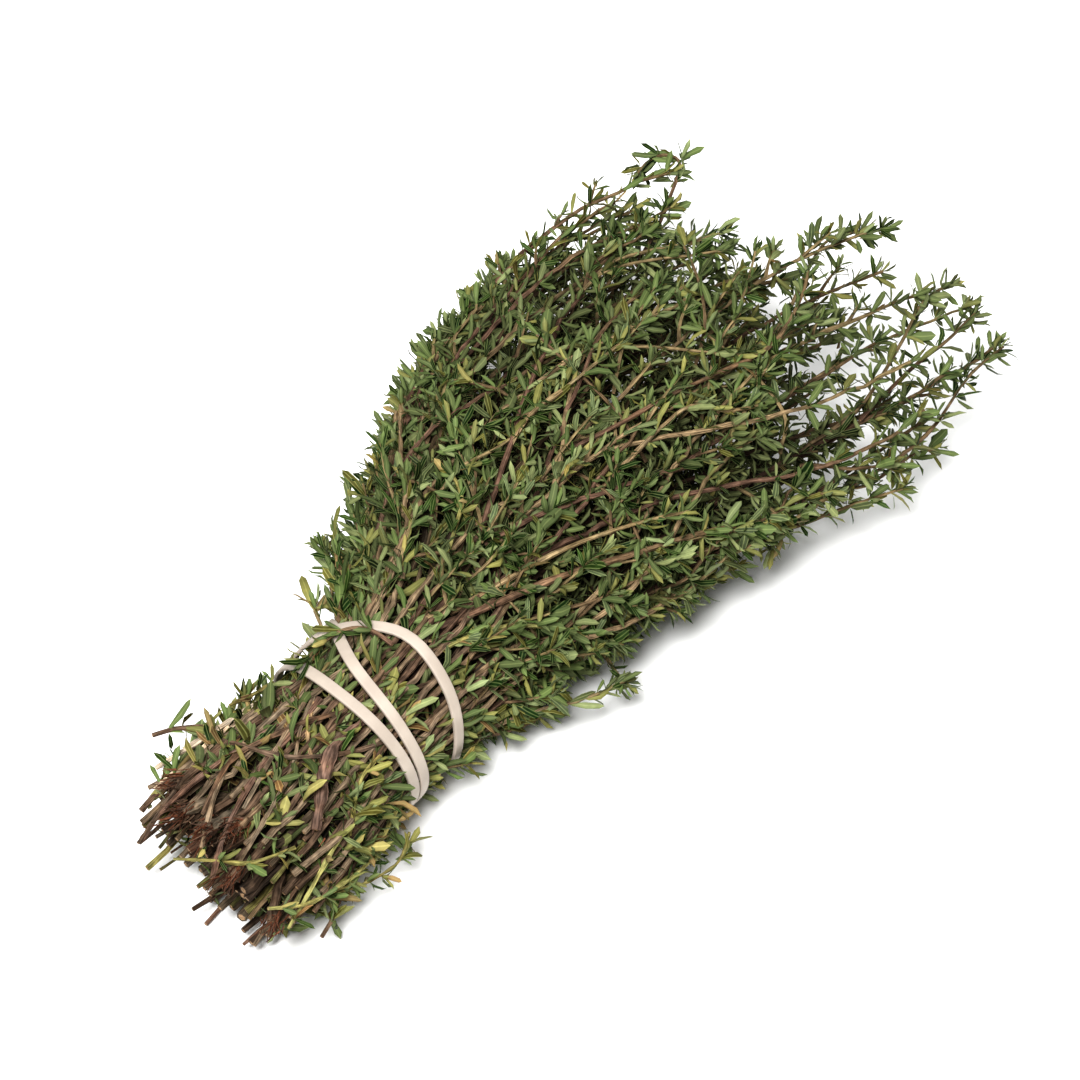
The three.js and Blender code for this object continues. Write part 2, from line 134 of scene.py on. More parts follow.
STEM_COUNT = 43
BARE_STEMS = [4, 7, 12, 17, 19, 22, 24, 27, 32]
GOLDEN_ANGLE = math.pi * (3 - math.sqrt(5))
LONG_TIPS = [
    (113, -53, 32), (114, -44, 39), (104, -36, 47), (105, -17, 54),
    (104, -24, 46), (96, 33, 50), (81, 40, 47),
]
STRAY_ENDS = [(-101, 29, 31), (-117, 21, 14), (-118, -12, 6), (-107, -23, 9)]
LONG_TIP_BEND_X = 20.0
STRAY_END_BEND_X = -80.0
STEM_SECTIONS = 46
STEM_RADIUS = 1.05
STEM_SIZES = (0.62, 0.95)
STEM_TIP_RADIUS = 0.38
BARE_STEM = {"radius": 1.55, "sizes": (0.8, 0.95), "end_x": -18.0, "end_spread": 14.0, "thin_to": 0.55}
SWAY = {"across": 1.2, "up": 0.72, "length": 17.0, "calm_near_tie": 60.0}
SHOOT_LENGTH = 22.0
SHOOT_SPREAD = {"size": 0.3, "swing": 0.6}
SHOOT_ROW = {"spacing": 29.0, "first": 0.6, "first_spread": 0.5, "shorter_at_base": 0.6}
SHOOTS_FROM_X = -46.0
DRAWS = {
    "tip": 1, "sway_across": 2, "sway_up": 3, "start": 4, "first_shoot": 6, "shoot": 100, "shoot_turn": 150,
}

BAND = {"width": 2.9, "thick": 1.0, "half_width": 21.5, "middle_z": 21.8, "half_height": 21.9}
BAND_TURNS = [
    (-64.4, -61.5, -50.8, -51.8, -55.0, -55.0, -53.0, -51.0),
    (-50.0, -55.5, -65.0, -67.6, -67.2, -67.2, -67.4, -66.5),
    (-68.2, -69.8, -72.4, -71.8, -70.6, -70.6, -71.0, -70.6),
]
BAND_KEYS = [x for turn in BAND_TURNS for x in turn]


def draw(item, what):
    """A repeatable draw from 0 to 1, by what it is for."""
    s = math.sin(item * 12.9898 + what * 78.233 + 4.137) * 43758.5453
    return s - math.floor(s)


def spread(amount, item, what):
    return amount * (2 * draw(item, what) - 1)


def mix(a, b, t):
    return a + (b - a) * t


def eased(value, start, end):
    """How far a value has come from start to end, from 0 to 1 and slower near both."""
    t = min(1.0, max(0.0, (value - start) / (end - start)))
    return t * t * (3 - 2 * t)


def shares(count):
    """Even steps from 0 to 1."""
    return [k / (count - 1) for k in range(count)]


def tapered(first, last, count, power=1.0):
    """Even steps from a first value to a last one. With a power over 1 they start slower."""
    return [mix(first, last, t**power) for t in shares(count)]


def between(a, b, c, d, t):
    """Catmull-Rom between four neighbouring values."""
    return 0.5 * (2 * b + (c - a) * t + (2 * a - 5 * b + 4 * c - d) * t * t + (3 * b - a - 3 * c + d) * t**3)


def through(points, count):
    """An even curve through given points."""
    points = [Vector(p) for p in points]
    last = len(points) - 1
    path = []
    for t in shares(count):
        i = min(int(t * last), last - 1)
        near = [points[max(i - 1, 0)], points[i], points[i + 1], points[min(i + 2, last)]]
        path.append(Vector([between(*[p[axis] for p in near], t * last - i) for axis in range(3)]))
    return path


def section_at(x):
    """The bunch's section at x: middle y, half width, middle z, half height."""
    at = (x - SECTIONS[0][0]) / (SECTIONS[1][0] - SECTIONS[0][0])
    at = min(max(at, 1.0), len(SECTIONS) - 1.001)
    i = int(at)
    near = [SECTIONS[i - 1], SECTIONS[i], SECTIONS[i + 1], SECTIONS[min(i + 2, len(SECTIONS) - 1)]]
    return [between(*[row[k] for row in near], at - i) for k in (1, 2, 3, 4)]


def place_of(i):
    """A stem's place in the bunch's section, from -1 to 1 across and up."""
    r = math.sqrt((i + 0.5) / STEM_COUNT)
    return r * math.cos(i * GOLDEN_ANGLE), r * math.sin(i * GOLDEN_ANGLE)


def in_section(x, u, v):
    """The point at x and at a place in the section."""
    middle_y, half_width, middle_z, half_height = section_at(x)
    return Vector((x, middle_y + half_width * u, middle_z + half_height * v))


def round_section(x, out, turn):
    """The point at x, so far out from the middle of the section and at a turn round it."""
    return in_section(x, out * math.cos(turn), out * math.sin(turn))


def place_in_section(point):
    """A point's own place in the section, from -1 to 1 across and up."""
    middle_y, half_width, middle_z, half_height = section_at(point.x)
    return (point.y - middle_y) / half_width, (point.z - middle_z) / half_height


def how_far_out(point):
    """0 in the middle of the bunch and 1 at its outermost stems."""
    return math.hypot(*place_in_section(point))


def shorter_by(u, v):
    """How much sooner stems end on the left side and in the low corner on the right."""
    corner = max(0.0, -v - LOW_CORNER["above"]) * max(0.0, LOW_CORNER["beside"] - u)
    return LEFT_SIDE_SHORT * max(0.0, u) ** 2 + LOW_CORNER["shorter"] * corner


def usual_tip_x(i):
    return MAIN_TIP_X + spread(TIP_SPREAD, i, DRAWS["tip"]) - shorter_by(*place_of(i))


def usual_start_x(i):
    u, v = place_of(i)
    further = CUT_END["spread"] * draw(i, DRAWS["start"]) ** CUT_END["evenness"]
    return CUT_END["middle_x"] + CUT_END["across"] * u + CUT_END["up"] * v + further


def sway_at(i, x):
    free = eased(abs(x - TIE_X), 0, SWAY["calm_near_tie"])
    across = math.sin(x / SWAY["length"] + FULL_TURN * draw(i, DRAWS["sway_across"]))
    up = math.sin(x / SWAY["length"] + FULL_TURN * draw(i, DRAWS["sway_up"]))
    return Vector((0, -free * SWAY["across"] * across, -free * SWAY["up"] * up))


def share_out(places, stems, kind):
    """Each of these places goes to the nearest stem that has none of its kind."""
    for place in places:
        target = Vector(place)
        free = [stem for stem in stems if kind not in stem]
        nearest = min(free, key=lambda stem: (in_section(target.x, *place_of(stem["id"])) - target).length)
        nearest[kind] = target


def stem_line(stem, end_x):
    """A stem's axis, from its cut end to its tip."""
    i = stem["id"]
    start_x = stem["stray_end"].x if "stray_end" in stem else usual_start_x(i)

    def line(x):
        return in_section(x, *place_of(i)) + sway_at(i, x)

    tip_shift = stem["long_tip"] - line(end_x) if "long_tip" in stem else Vector()
    start_shift = stem["stray_end"] - line(start_x) if "stray_end" in stem else Vector()
    points = []
    for x in tapered(start_x, end_x, STEM_SECTIONS):
        to_tip = eased(x, LONG_TIP_BEND_X, end_x)
        to_start = eased(x, STRAY_END_BEND_X, start_x)
        points.append(line(x) + tip_shift * to_tip + start_shift * to_start)
    return points


def lay_out_stems():
    """The leafy stems and the bare ones, each with its place and what is special about its ends."""
    bare = [{"id": i} for i in range(STEM_COUNT) if i in BARE_STEMS]
    leafy = [{"id": i} for i in range(STEM_COUNT) if i not in BARE_STEMS]
    share_out(LONG_TIPS, leafy, "long_tip")
    share_out(STRAY_ENDS, bare + leafy, "stray_end")
    return leafy, bare


def band_x(turns):
    """Where the band's middle is along X after so many turns round the bunch."""
    at = turns * len(BAND_TURNS[0])
    i = math.floor(at)
    keys = [BAND_KEYS[(i + k) % len(BAND_KEYS)] for k in (-1, 0, 1, 2)]
    return between(*keys, at - i)


# ---------------- directions along a stem


def directions_of(path):
    last = len(path) - 1
    return [(path[min(i + 1, last)] - path[max(i - 1, 0)]).normalized() for i in range(len(path))]


def sideways(direction):
    """Two directions square to a stem's direction, the first one level."""
    level = Vector((-direction.y, direction.x, 0.0)).normalized()
    return level, direction.cross(level)


def outward_turn(point, direction):
    """The turn round a stem that looks out of the bunch."""
    middle_y, half_width, middle_z, half_height = section_at(point.x)
    out = Vector((0, (point.y - middle_y) / half_width**2, (point.z - middle_z) / half_height**2))
    level, up = sideways(direction)
    return math.atan2(out.dot(up), out.dot(level))


def leaning(direction, angle, turn):
    """The direction at an angle from a stem and a turn round it, and the way a leaf's upper face looks."""
    level, up = sideways(direction)
    out = level * math.cos(turn) + up * math.sin(turn)
    along = direction * math.cos(angle) + out * math.sin(angle)
    return along, direction * math.sin(angle) - out * math.cos(angle)


def jitter(rng, amount):
    return Vector([rng.gauss(0, amount) for _ in range(3)])


class Axis:
    """A stem's or shoot's line, read by the distance from its root."""

    def __init__(self, path):
        self.path = path
        self.directions = directions_of(path)
        steps = [(b - a).length for a, b in zip(path, path[1:])]
        self.distances = [0.0] + list(np.cumsum(steps))
        self.length = self.distances[-1]

    def at(self, distance):
        i = int(np.searchsorted(self.distances, distance)) - 1
        i = min(max(i, 0), len(self.path) - 2)
        t = (distance - self.distances[i]) / (self.distances[i + 1] - self.distances[i])
        point = self.path[i].lerp(self.path[i + 1], t)
        return point, self.directions[i].lerp(self.directions[i + 1], t).normalized()


# ---------------- shapes modelled once


def pick(where):
    """Selects the vertices of the mesh in edit mode whose place passes the test, and no others."""
    mesh = bpy.context.edit_object.data
    shape = bmesh.from_edit_mesh(mesh)
    for vertex in shape.verts:
        vertex.select = bool(where(vertex.co))
    shape.select_flush_mode()
    bmesh.update_edit_mesh(mesh)


class Shape:
    """A modelled shape, read once so that copies of it can be placed. Corner values run face by face."""

    def __init__(self, thing):
        mesh = thing.data
        self.points = np.array([v.co[:] for v in mesh.vertices])
        self.corners = np.array([i for face in mesh.polygons for i in face.vertices])
        self.sizes = np.array([len(face.vertices) for face in mesh.polygons])
        self.starts = np.cumsum(self.sizes) - self.sizes
        bpy.data.objects.remove(thing)

    def by_face(self, values):
        return np.repeat(values, self.sizes)


# A leaf has its root at 0 and its tip at 1 along X, and its upper face looks along Z.
LEAF_STATION_WIDTHS = {3: (0.52, 1.0, 0.84), 2: (0.80, 1.0)}
LEAF_FORMS = {
    "flat": {"stations": 3, "width": 0.23, "groove": 0.034, "roll": 0.012, "arch": 0.06, "twist": 6},
    "folded": {"stations": 3, "width": 0.20, "groove": 0.062, "roll": 0.0, "arch": 0.10, "twist": -10},
    "rolled": {"stations": 3, "width": 0.18, "groove": -0.012, "roll": 0.040, "arch": 0.14, "twist": 12},
    "bowed": {"stations": 3, "width": 0.22, "groove": 0.044, "roll": 0.0, "arch": 0.26, "twist": 18},
    "cupped": {"stations": 3, "width": 0.22, "groove": 0.054, "roll": -0.010, "arch": -0.16, "twist": -14},
    "broad": {"stations": 3, "width": 0.34, "groove": 0.060, "roll": 0.0, "arch": 0.12, "twist": -8},
    "small": {"stations": 2, "width": 0.24, "groove": 0.050, "roll": 0.0, "arch": 0.08, "twist": 8},
    "small_narrow": {"stations": 2, "width": 0.19, "groove": 0.030, "roll": 0.0, "arch": 0.18, "twist": -12},
    "small_cupped": {"stations": 2, "width": 0.23, "groove": 0.050, "roll": 0.0, "arch": -0.16, "twist": 14},
    "small_broad": {"stations": 2, "width": 0.36, "groove": 0.060, "roll": 0.0, "arch": 0.10, "twist": -6},
}
LEAF_SIDES = 6
LEAF_THICK = 0.034
BARK_RIM = 0.28


def model_leaf(form):
    """A leaf blade from a sphere pressed flat, with a groove above, rolled margins, an arch and a twist."""
    stations = form["stations"]
    bpy.ops.object.select_all(action="DESELECT")
    bpy.ops.mesh.primitive_uv_sphere_add(
        segments=LEAF_SIDES, ring_count=stations + 1, radius=0.5,
        location=(0.5, 0, 0), rotation=(0, math.pi / 2, 0),
    )
    blade = bpy.context.object
    bpy.ops.object.transform_apply(location=True, rotation=True, scale=True)
    round_points = np.array([v.co[:] for v in blade.data.vertices])
    bpy.ops.object.mode_set(mode="EDIT")
    for k, width in enumerate(LEAF_STATION_WIDTHS[stations]):
        ring = math.pi * (k + 1) / (stations + 1)
        x = 0.5 - 0.5 * math.cos(ring)
        radius = 0.5 * math.sin(ring)
        thinner = 2 * radius / LEAF_THICK
        margin = 0.8 * radius
        pick(lambda co: abs(co.x - x) < 0.01 and abs(co.y) < 0.1 * radius)
        bpy.ops.transform.translate(value=(0, 0, -form["groove"] * radius * thinner))
        pick(lambda co: abs(co.x - x) < 0.01 and abs(co.y) > margin)
        bpy.ops.transform.translate(value=(0, 0, -form["roll"] * radius * thinner))
        pick(lambda co: abs(co.x - x) < 0.01)
        flat = (1, form["width"] * width / (2 * radius), 1 / thinner)
        bpy.ops.transform.resize(value=flat, center_override=(x, 0, 0))
        turn = math.radians(form["twist"]) * (2 * x - 1)
        bpy.ops.transform.rotate(value=turn, orient_axis="X", center_override=(x, 0, 0))
        bpy.ops.transform.translate(value=(0, 0, form["arch"] * 4 * x * (1 - x)))
    bpy.ops.object.mode_set(mode="OBJECT")
    leaf = Shape(blade)
    widest = np.hypot(round_points[:, 1], round_points[:, 2]) * math.cos(math.pi / LEAF_SIDES)
    across = np.clip(0.5 + 0.5 * round_points[:, 1] / np.maximum(1e-6, widest), 0, 1)
    below = np.add.reduceat(round_points[leaf.corners, 2], leaf.starts) < -1e-6
    leaf.uv = np.stack([across[leaf.corners], round_points[leaf.corners, 0] + 2.0 * leaf.by_face(below)], 1)
    return leaf


# A stem has its axis along Z with a section at each whole number, the cut end at 0.
def model_stem(sides, sections):
    """A stem from a disc extruded section by section, with a rim of bark round the wood of the cut end."""
    bpy.ops.object.select_all(action="DESELECT")
    bpy.ops.mesh.primitive_circle_add(vertices=sides, radius=1.0, fill_type="NGON")
    stick = bpy.context.object
    bpy.ops.object.mode_set(mode="EDIT")
    for _ in range(sections - 1):
        bpy.ops.mesh.extrude_region_move(TRANSFORM_OT_translate={"value": (0, 0, 1)})
    pick(lambda co: co.z < 0.5)
    bpy.ops.mesh.select_mode(type="FACE")
    bpy.ops.mesh.inset(thickness=BARK_RIM)
    bpy.ops.mesh.select_mode(type="VERT")
    bpy.ops.mesh.select_all(action="SELECT")
    bpy.ops.mesh.normals_make_consistent(inside=False)
    bpy.ops.object.mode_set(mode="OBJECT")
    stem = Shape(stick)
    stem.section = np.rint(stem.points[:, 2]).astype(int)
    around = (np.arctan2(stem.points[:, 1], stem.points[:, 0]) / FULL_TURN) % 1.0
    around = around[stem.corners]
    wraps = np.maximum.reduceat(around, stem.starts) - np.minimum.reduceat(around, stem.starts) > 0.5
    stem.around = around + (stem.by_face(wraps) & (around < 0.5))
    reach = np.hypot(stem.points[:, 0], stem.points[:, 1])[stem.corners]
    stem.is_wood = stem.by_face(np.maximum.reduceat(reach, stem.starts) < 0.9)
    return stem


# ---------------- colours

DARK_GREEN = (0.007, 0.019, 0.004)
MID_GREEN = (0.019, 0.037, 0.008)
GREY_GREEN = (0.064, 0.080, 0.036)
OLIVE = (0.066, 0.062, 0.015)
LEAF_YELLOW = (0.120, 0.098, 0.030)
LEAF_BROWN = (0.110, 0.064, 0.028)
YOUNG_STEM = (0.140, 0.122, 0.046)
TAN_STEM = (0.215, 0.152, 0.086)
RED_STEM = (0.120, 0.070, 0.048)
GREY_BARK = (0.142, 0.104, 0.068)
DARK_BARK = (0.084, 0.054, 0.035)
CUT_WOOD = (0.300, 0.190, 0.105)
FRAYED_BARK = (0.110, 0.044, 0.024)
YELLOW_STEM = (0.210, 0.190, 0.068)
SPLIT_WOOD = (0.360, 0.280, 0.200)
DEAD_LEAF = (0.205, 0.142, 0.058)
# The pale of the leaf margins and the underside's midrib, and of the painted highlight along the middle of
# the upper face.
PALE_MARGIN_AND_HIGHLIGHT = (0.37, 0.40, 0.17, 1.0)
PALE_BELOW = (0.24, 0.27, 0.12, 1.0)
RUBBER_DARKER = (0.35, 0.295, 0.245, 1.0)
RUBBER_LIGHTER = (0.42, 0.36, 0.30, 1.0)

# What share of a sprig's leaves has each colour.
LEAF_LOOKS = [
    {DARK_GREEN: 5, MID_GREEN: 4, GREY_GREEN: 2, OLIVE: 1},
    {DARK_GREEN: 2, MID_GREEN: 4, GREY_GREEN: 3, OLIVE: 3},
    {DARK_GREEN: 6, MID_GREEN: 4, GREY_GREEN: 1, OLIVE: 1},
    {DARK_GREEN: 1, MID_GREEN: 3, GREY_GREEN: 6, OLIVE: 2},
]
CUT_END_LOOK = {DARK_GREEN: 5, MID_GREEN: 5, GREY_GREEN: 3, OLIVE: 2}
TWIG_COLOURS = [GREY_BARK, DARK_BARK, DARK_BARK, TAN_STEM, RED_STEM, YOUNG_STEM, YELLOW_STEM]
FIBRE_COLOURS = (FRAYED_BARK, FRAYED_BARK, DARK_BARK, RED_STEM)

# Each stem's bark at the cut end, and its colour further up.
STEM_LOOKS = [(GREY_BARK, TAN_STEM), (DARK_BARK, RED_STEM), (GREY_BARK, RED_STEM), (DARK_BARK, TAN_STEM)]


def toned(colour, rng, amount=0.2):
    """A colour a little lighter or darker, and a little warmer or cooler."""
    light = 1.0 + rng.uniform(-amount, amount)
    warm = rng.uniform(-0.06, 0.06)
    return (colour[0] * light * (1 + warm), colour[1] * light, colour[2] * light * (1 - warm))


def blended(a, b, t):
    return tuple(mix(x, y, t) for x, y in zip(a, b))


class Nodes:
    """Adds nodes to a material's tree and links them by name."""

    def __init__(self, name):
        self.material = bpy.data.materials.new(name)
        self.material.use_nodes = True
        self.tree = self.material.node_tree
        self.shader = self.tree.nodes["Principled BSDF"]

    def add(self, kind, inputs=(), **settings):
        node = self.tree.nodes.new(kind)
        for name, value in settings.items():
            setattr(node, name, value)
        for name, value in dict(inputs).items():
            self.put(node.inputs[name], value)
        return node

    def put(self, socket, value):
        if isinstance(value, bpy.types.NodeSocket):
            self.tree.links.new(value, socket)
        else:
            socket.default_value = value

    def maths(self, operation, a, b=0.0, c=0.0):
        return self.add("ShaderNodeMath", {0: a, 1: b, 2: c}, operation=operation).outputs[0]

    def ramp(self, value, low, high, to_low=0.0, to_high=1.0):
        """The value's way from low to high, eased, as a way from to_low to to_high."""
        inputs = {"Value": value, "From Min": low, "From Max": high, "To Min": to_low, "To Max": to_high}
        return self.add("ShaderNodeMapRange", inputs, interpolation_type="SMOOTHSTEP").outputs["Result"]

    def blend(self, share, a, b, how="MIX"):
        node = self.add("ShaderNodeMix", data_type="RGBA", blend_type=how)
        self.put(node.inputs["Factor"], share)
        self.put(node.inputs[6], a)
        self.put(node.inputs[7], b)
        return node.outputs[2]

    def times(self, a, b):
        return self.blend(1.0, a, b, "MULTIPLY")

    def over(self, mask, strength, a, b):
        """A colour with another one over it, as strong as this where the mask is full."""
        return self.blend(self.maths("MULTIPLY", mask, strength), a, b)

    def noise(self, vector, scale, detail):
        inputs = {"Vector": vector, "Scale": scale, "Detail": detail}
        return self.add("ShaderNodeTexNoise", inputs).outputs["Fac"]

    def tint(self):
        return self.add("ShaderNodeVertexColor", layer_name="tint").outputs["Color"]

    def surface_place(self):
        return self.add("ShaderNodeUVMap", uv_map="surface").outputs[0]

    def object_place(self):
        return self.add("ShaderNodeTexCoord").outputs["Object"]

    def bump(self, height, strength, distance):
        inputs = {"Height": height, "Strength": strength, "Distance": distance}
        self.put(self.shader.inputs["Normal"], self.add("ShaderNodeBump", inputs).outputs["Normal"])

    def surface(self, colour, roughness, specular):
        self.put(self.shader.inputs["Base Color"], colour)
        self.put(self.shader.inputs["Roughness"], roughness)
        self.put(self.shader.inputs["Specular IOR Level"], specular)
        return self.material


def make_leaf_material():
    """Thyme leaf: a pale line along the middle of the upper face, a painted highlight of its groove, pale
    margins, and a greyer underside with a paler midrib.
    """
    n = Nodes("thyme_leaf")
    place = n.add("ShaderNodeSeparateXYZ", {0: n.surface_place()})
    across, along = place.outputs[0], place.outputs[1]
    is_below = n.maths("GREATER_THAN", along, 1.5)
    from_rib = n.maths("ABSOLUTE", n.maths("MULTIPLY_ADD", across, 2.0, -1.0))
    rib_and_highlight = n.ramp(from_rib, 0.05, 0.22, 1.0, 0.0)
    margin = n.ramp(from_rib, 0.72, 0.98)
    object_place = n.object_place()
    mottle = n.ramp(n.noise(object_place, 700.0, 3.0), 0.3, 0.7, 0.82, 1.18)
    base = n.times(n.tint(), mottle)
    pale = n.blend(0.45, n.times(base, (3.2, 3.0, 3.0, 1.0)), PALE_MARGIN_AND_HIGHLIGHT)
    # On the upper face, the pale line along the middle is a painted highlight where the groove catches light.
    top = n.over(margin, 0.55, n.over(rib_and_highlight, 0.5, base, pale), pale)
    below = n.blend(0.32, n.times(base, (2.0, 1.9, 1.9, 1.0)), PALE_BELOW)
    below = n.over(margin, 0.6, n.over(rib_and_highlight, 0.6, below, pale), base)
    pits = n.noise(object_place, 5200.0, 2.0)
    n.bump(pits, 0.3, 0.00015)
    return n.surface(n.blend(is_below, top, below), n.ramp(pits, 0.3, 0.7, 0.38, 0.58), 0.045)


def make_bark_material():
    """Thyme stem: fine lengthwise ridges and streaks, patchy along its length."""
    n = Nodes("thyme_bark")
    stretch = {"Vector": n.surface_place(), "Scale": (14.0, 0.2, 1.0)}
    streaks = n.noise(n.add("ShaderNodeMapping", stretch).outputs[0], 1.0, 4.0)
    patches = n.noise(n.object_place(), 420.0, 3.0)
    colour = n.times(n.tint(), n.ramp(streaks, 0.34, 0.66, 0.5, 1.5))
    colour = n.times(colour, n.ramp(patches, 0.3, 0.7, 0.65, 1.35))
    n.bump(streaks, 0.8, 0.0004)
    return n.surface(colour, n.ramp(streaks, 0.3, 0.7, 0.62, 0.85), 0.06)


def make_rubber_material():
    """Pale beige rubber, matt, faintly clouded and finely grained."""
    n = Nodes("pale_rubber")
    place = n.object_place()
    clouds = n.noise(place, 120.0, 3.0)
    grain = n.noise(place, 3200.0, 3.0)
    n.bump(grain, 0.25, 0.0001)
    colour = n.blend(n.ramp(clouds, 0.3, 0.7), RUBBER_DARKER, RUBBER_LIGHTER)
    return n.surface(colour, n.ramp(grain, 0.3, 0.7, 0.50, 0.66), 0.4)


# ---------------- a piece: stems and leaves in one mesh

ABOVE_TABLE = 0.05
SMOOTH_UNDER = math.radians(48)
# Painted shade and painted light: colours are darkened deep in the bunch and lightened at its skin, in place
# of the shade among the leaves and the light on the outer ones.
DEEPEST_PAINTED_SHADE_LEAF = 0.12
DEEPEST_PAINTED_SHADE_STEM = 0.26
BRIGHTEST_PAINTED_LIGHT = 1.14
SKIN = (0.84, 1.12)  # how far out the painted shade gives way to the painted light of the bunch's skin, and where that painted light is at its brightest
OPEN_TIPS_X = (48, 88)
OPEN_CUT_ENDS_X = (-94, -114)
CUT_ENDS_OPEN = 0.55
OPEN_END = 0.8


def shaded(colour, point, least):
    """Painted shade and light: leaves and stems deep in the bunch are darker than those at its skin and its
    two ends, and those at the skin lighter than their own colour.
    """
    # The painted shade fades toward the tips, and partly toward the cut ends, where inner leaves lie open.
    open_end = max(eased(point.x, *OPEN_TIPS_X), CUT_ENDS_OPEN * eased(point.x, *OPEN_CUT_ENDS_X))
    painted_light = mix(mix(least, OPEN_END, open_end), BRIGHTEST_PAINTED_LIGHT, eased(how_far_out(point), *SKIN))
    return tuple(c * painted_light for c in colour)


def add_selected(name, mesh):
    """A new object, the only one selected."""
    thing = bpy.data.objects.new(name, mesh)
    bpy.context.scene.collection.objects.link(thing)
    bpy.ops.object.select_all(action="DESELECT")
    thing.select_set(True)
    bpy.context.view_layer.objects.active = thing
    return thing


class Sprig:
    """Collects the stems and leaf copies of one piece, then makes its mesh."""

    def __init__(self, name, rng=None, look=None, stem_look=None):
        self.name = name
        self.rng = rng
        self.look = look
        self.stem_look = stem_look
        self.parts = []  # (points, corners, sizes, uv, tints, material number)
        self.leaves = {form: [] for form in LEAF_FORMS}

    def add_stem(self, shape, path, radii, tints, turn=0.0):
        """A copy of a modelled stem, bent along a path, with a radius and a colour at each section, the
        colour with painted shade deep in the bunch and painted light at its skin.
        """
        points = np.array([p[:] for p in path])
        frames = [sideways(direction) for direction in directions_of(path)]
        level = np.array([f[0][:] for f in frames])
        up = np.array([f[1][:] for f in frames])
        c, s = math.cos(turn), math.sin(turn)
        x = shape.points[:, 0] * c - shape.points[:, 1] * s
        y = shape.points[:, 0] * s + shape.points[:, 1] * c
        k = shape.section
        radii = np.array(radii)[k, None]
        bent = points[k] + level[k] * x[:, None] * radii + up[k] * y[:, None] * radii
        distance = np.concatenate([[0.0], np.cumsum(np.linalg.norm(np.diff(points, axis=0), axis=1))])
        uv = np.stack([shape.around, distance[k][shape.corners]], 1)
        # Painted shade deep in the bunch and painted light at its skin, on each section's colour.
        tints = [shaded(tint, point, DEEPEST_PAINTED_SHADE_STEM) for tint, point in zip(tints, path)]
        colours = np.array(tints)[k][shape.corners]
        colours[shape.is_wood] = CUT_WOOD
        self.parts.append((bent, shape.corners, shape.sizes, uv, colours, 1))

    def add_leaf(self, form, root, along, up, length, tint):
        across = up.cross(along)
        rows = [(along[i] * length, across[i] * length, up[i] * length, root[i]) for i in range(3)]
        self.leaves[form].append((rows, tint))

    def leaf_parts(self):
        for form, copies in self.leaves.items():
            if not copies:
                continue
            shape = LEAF_SHAPES[form]
            rows = np.array([c[0] for c in copies])
            count, size = len(copies), len(shape.points)
            points = np.einsum("nij,vj->nvi", rows[:, :, :3], shape.points) + rows[:, None, :, 3]
            corners = shape.corners[None, :] + size * np.arange(count)[:, None]
            sizes = np.tile(shape.sizes, count)
            uv = np.tile(shape.uv, (count, 1))
            tints = np.repeat(np.array([c[1] for c in copies]), len(shape.corners), axis=0)
            yield points.reshape(-1, 3), corners.ravel(), sizes, uv, tints, 0

    def build(self):
        parts = self.parts + list(self.leaf_parts())
        offsets = np.cumsum([0] + [len(p[0]) for p in parts])
        points = np.concatenate([p[0] for p in parts])
        points[:, 2] = np.maximum(points[:, 2], ABOVE_TABLE)
        points = (points - np.array(UNDER_MIDDLE)) * MM
        corners = np.concatenate([p[1] + offset for p, offset in zip(parts, offsets)])
        sizes = np.concatenate([p[2] for p in parts])
        materials = np.concatenate([np.full(len(p[2]), p[5]) for p in parts])
        mesh = bpy.data.meshes.new(self.name)
        mesh.vertices.add(len(points))
        mesh.vertices.foreach_set("co", points.astype(np.float32).ravel())
        mesh.loops.add(len(corners))
        mesh.loops.foreach_set("vertex_index", corners.astype(np.int32))
        mesh.polygons.add(len(sizes))
        mesh.polygons.foreach_set("loop_start", (np.cumsum(sizes) - sizes).astype(np.int32))
        mesh.polygons.foreach_set("material_index", materials.astype(np.int32))
        mesh.materials.append(LEAF_MATERIAL)
        mesh.materials.append(BARK_MATERIAL)
        mesh.update(calc_edges=True)
        uv = mesh.uv_layers.new(name="surface")
        uv.data.foreach_set("uv", np.concatenate([p[3] for p in parts]).astype(np.float32).ravel())
        tint = mesh.color_attributes.new(name="tint", type="FLOAT_COLOR", domain="CORNER")
        colours = np.concatenate([p[4] for p in parts])
        colours = np.concatenate([colours, np.ones((len(colours), 1))], 1)
        tint.data.foreach_set("color", colours.astype(np.float32).ravel())
        piece = add_selected(self.name, mesh)
        bpy.ops.object.shade_smooth_by_angle(angle=SMOOTH_UNDER)
        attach(piece, "root")
        return piece


# ---------------- leaves on a stem

LONG_FORMS = ["rolled", "folded", "rolled", "bowed"]
OVAL_FORMS = ["flat", "folded", "cupped", "bowed", "flat", "broad"]
BUD_FORMS = ["small", "small_narrow", "small_cupped"]
BROAD_BUD_FORMS = ["small_broad", "small", "small_cupped"]

# How a sprig grows: long stretches between stars of leaves, or narrow leaves set close. Lengths are in mm and
# leans in radians. "bud_leaf" and "tip" scale leaves in buds and at its tip. The first "bare" mm have none.
STARRY = {
    "spacing": 10.5, "leaf": 7.0, "lean": 1.2, "forms": OVAL_FORMS, "buds": (3, 4, 4), "bud_leaf": 0.86,
    "tip": 1.15, "bare": 2.0,
}
DENSE = {
    "spacing": 4.8, "leaf": 7.4, "lean": 0.62, "forms": LONG_FORMS, "buds": (0, 0, 2), "bud_leaf": 0.8,
    "tip": 1.15, "bare": 2.0,
}
CROSSING = {**STARRY, "spacing": 14.0, "lean": 1.15, "bare": 4.0}
OUTER = {**STARRY, "spacing": 8.6, "leaf": 7.2, "lean": 0.85, "buds": (2, 3, 4), "tip": 1.1, "bare": 3.0}
SHOOT = {"tip": 0.95, "bare": 2.5}
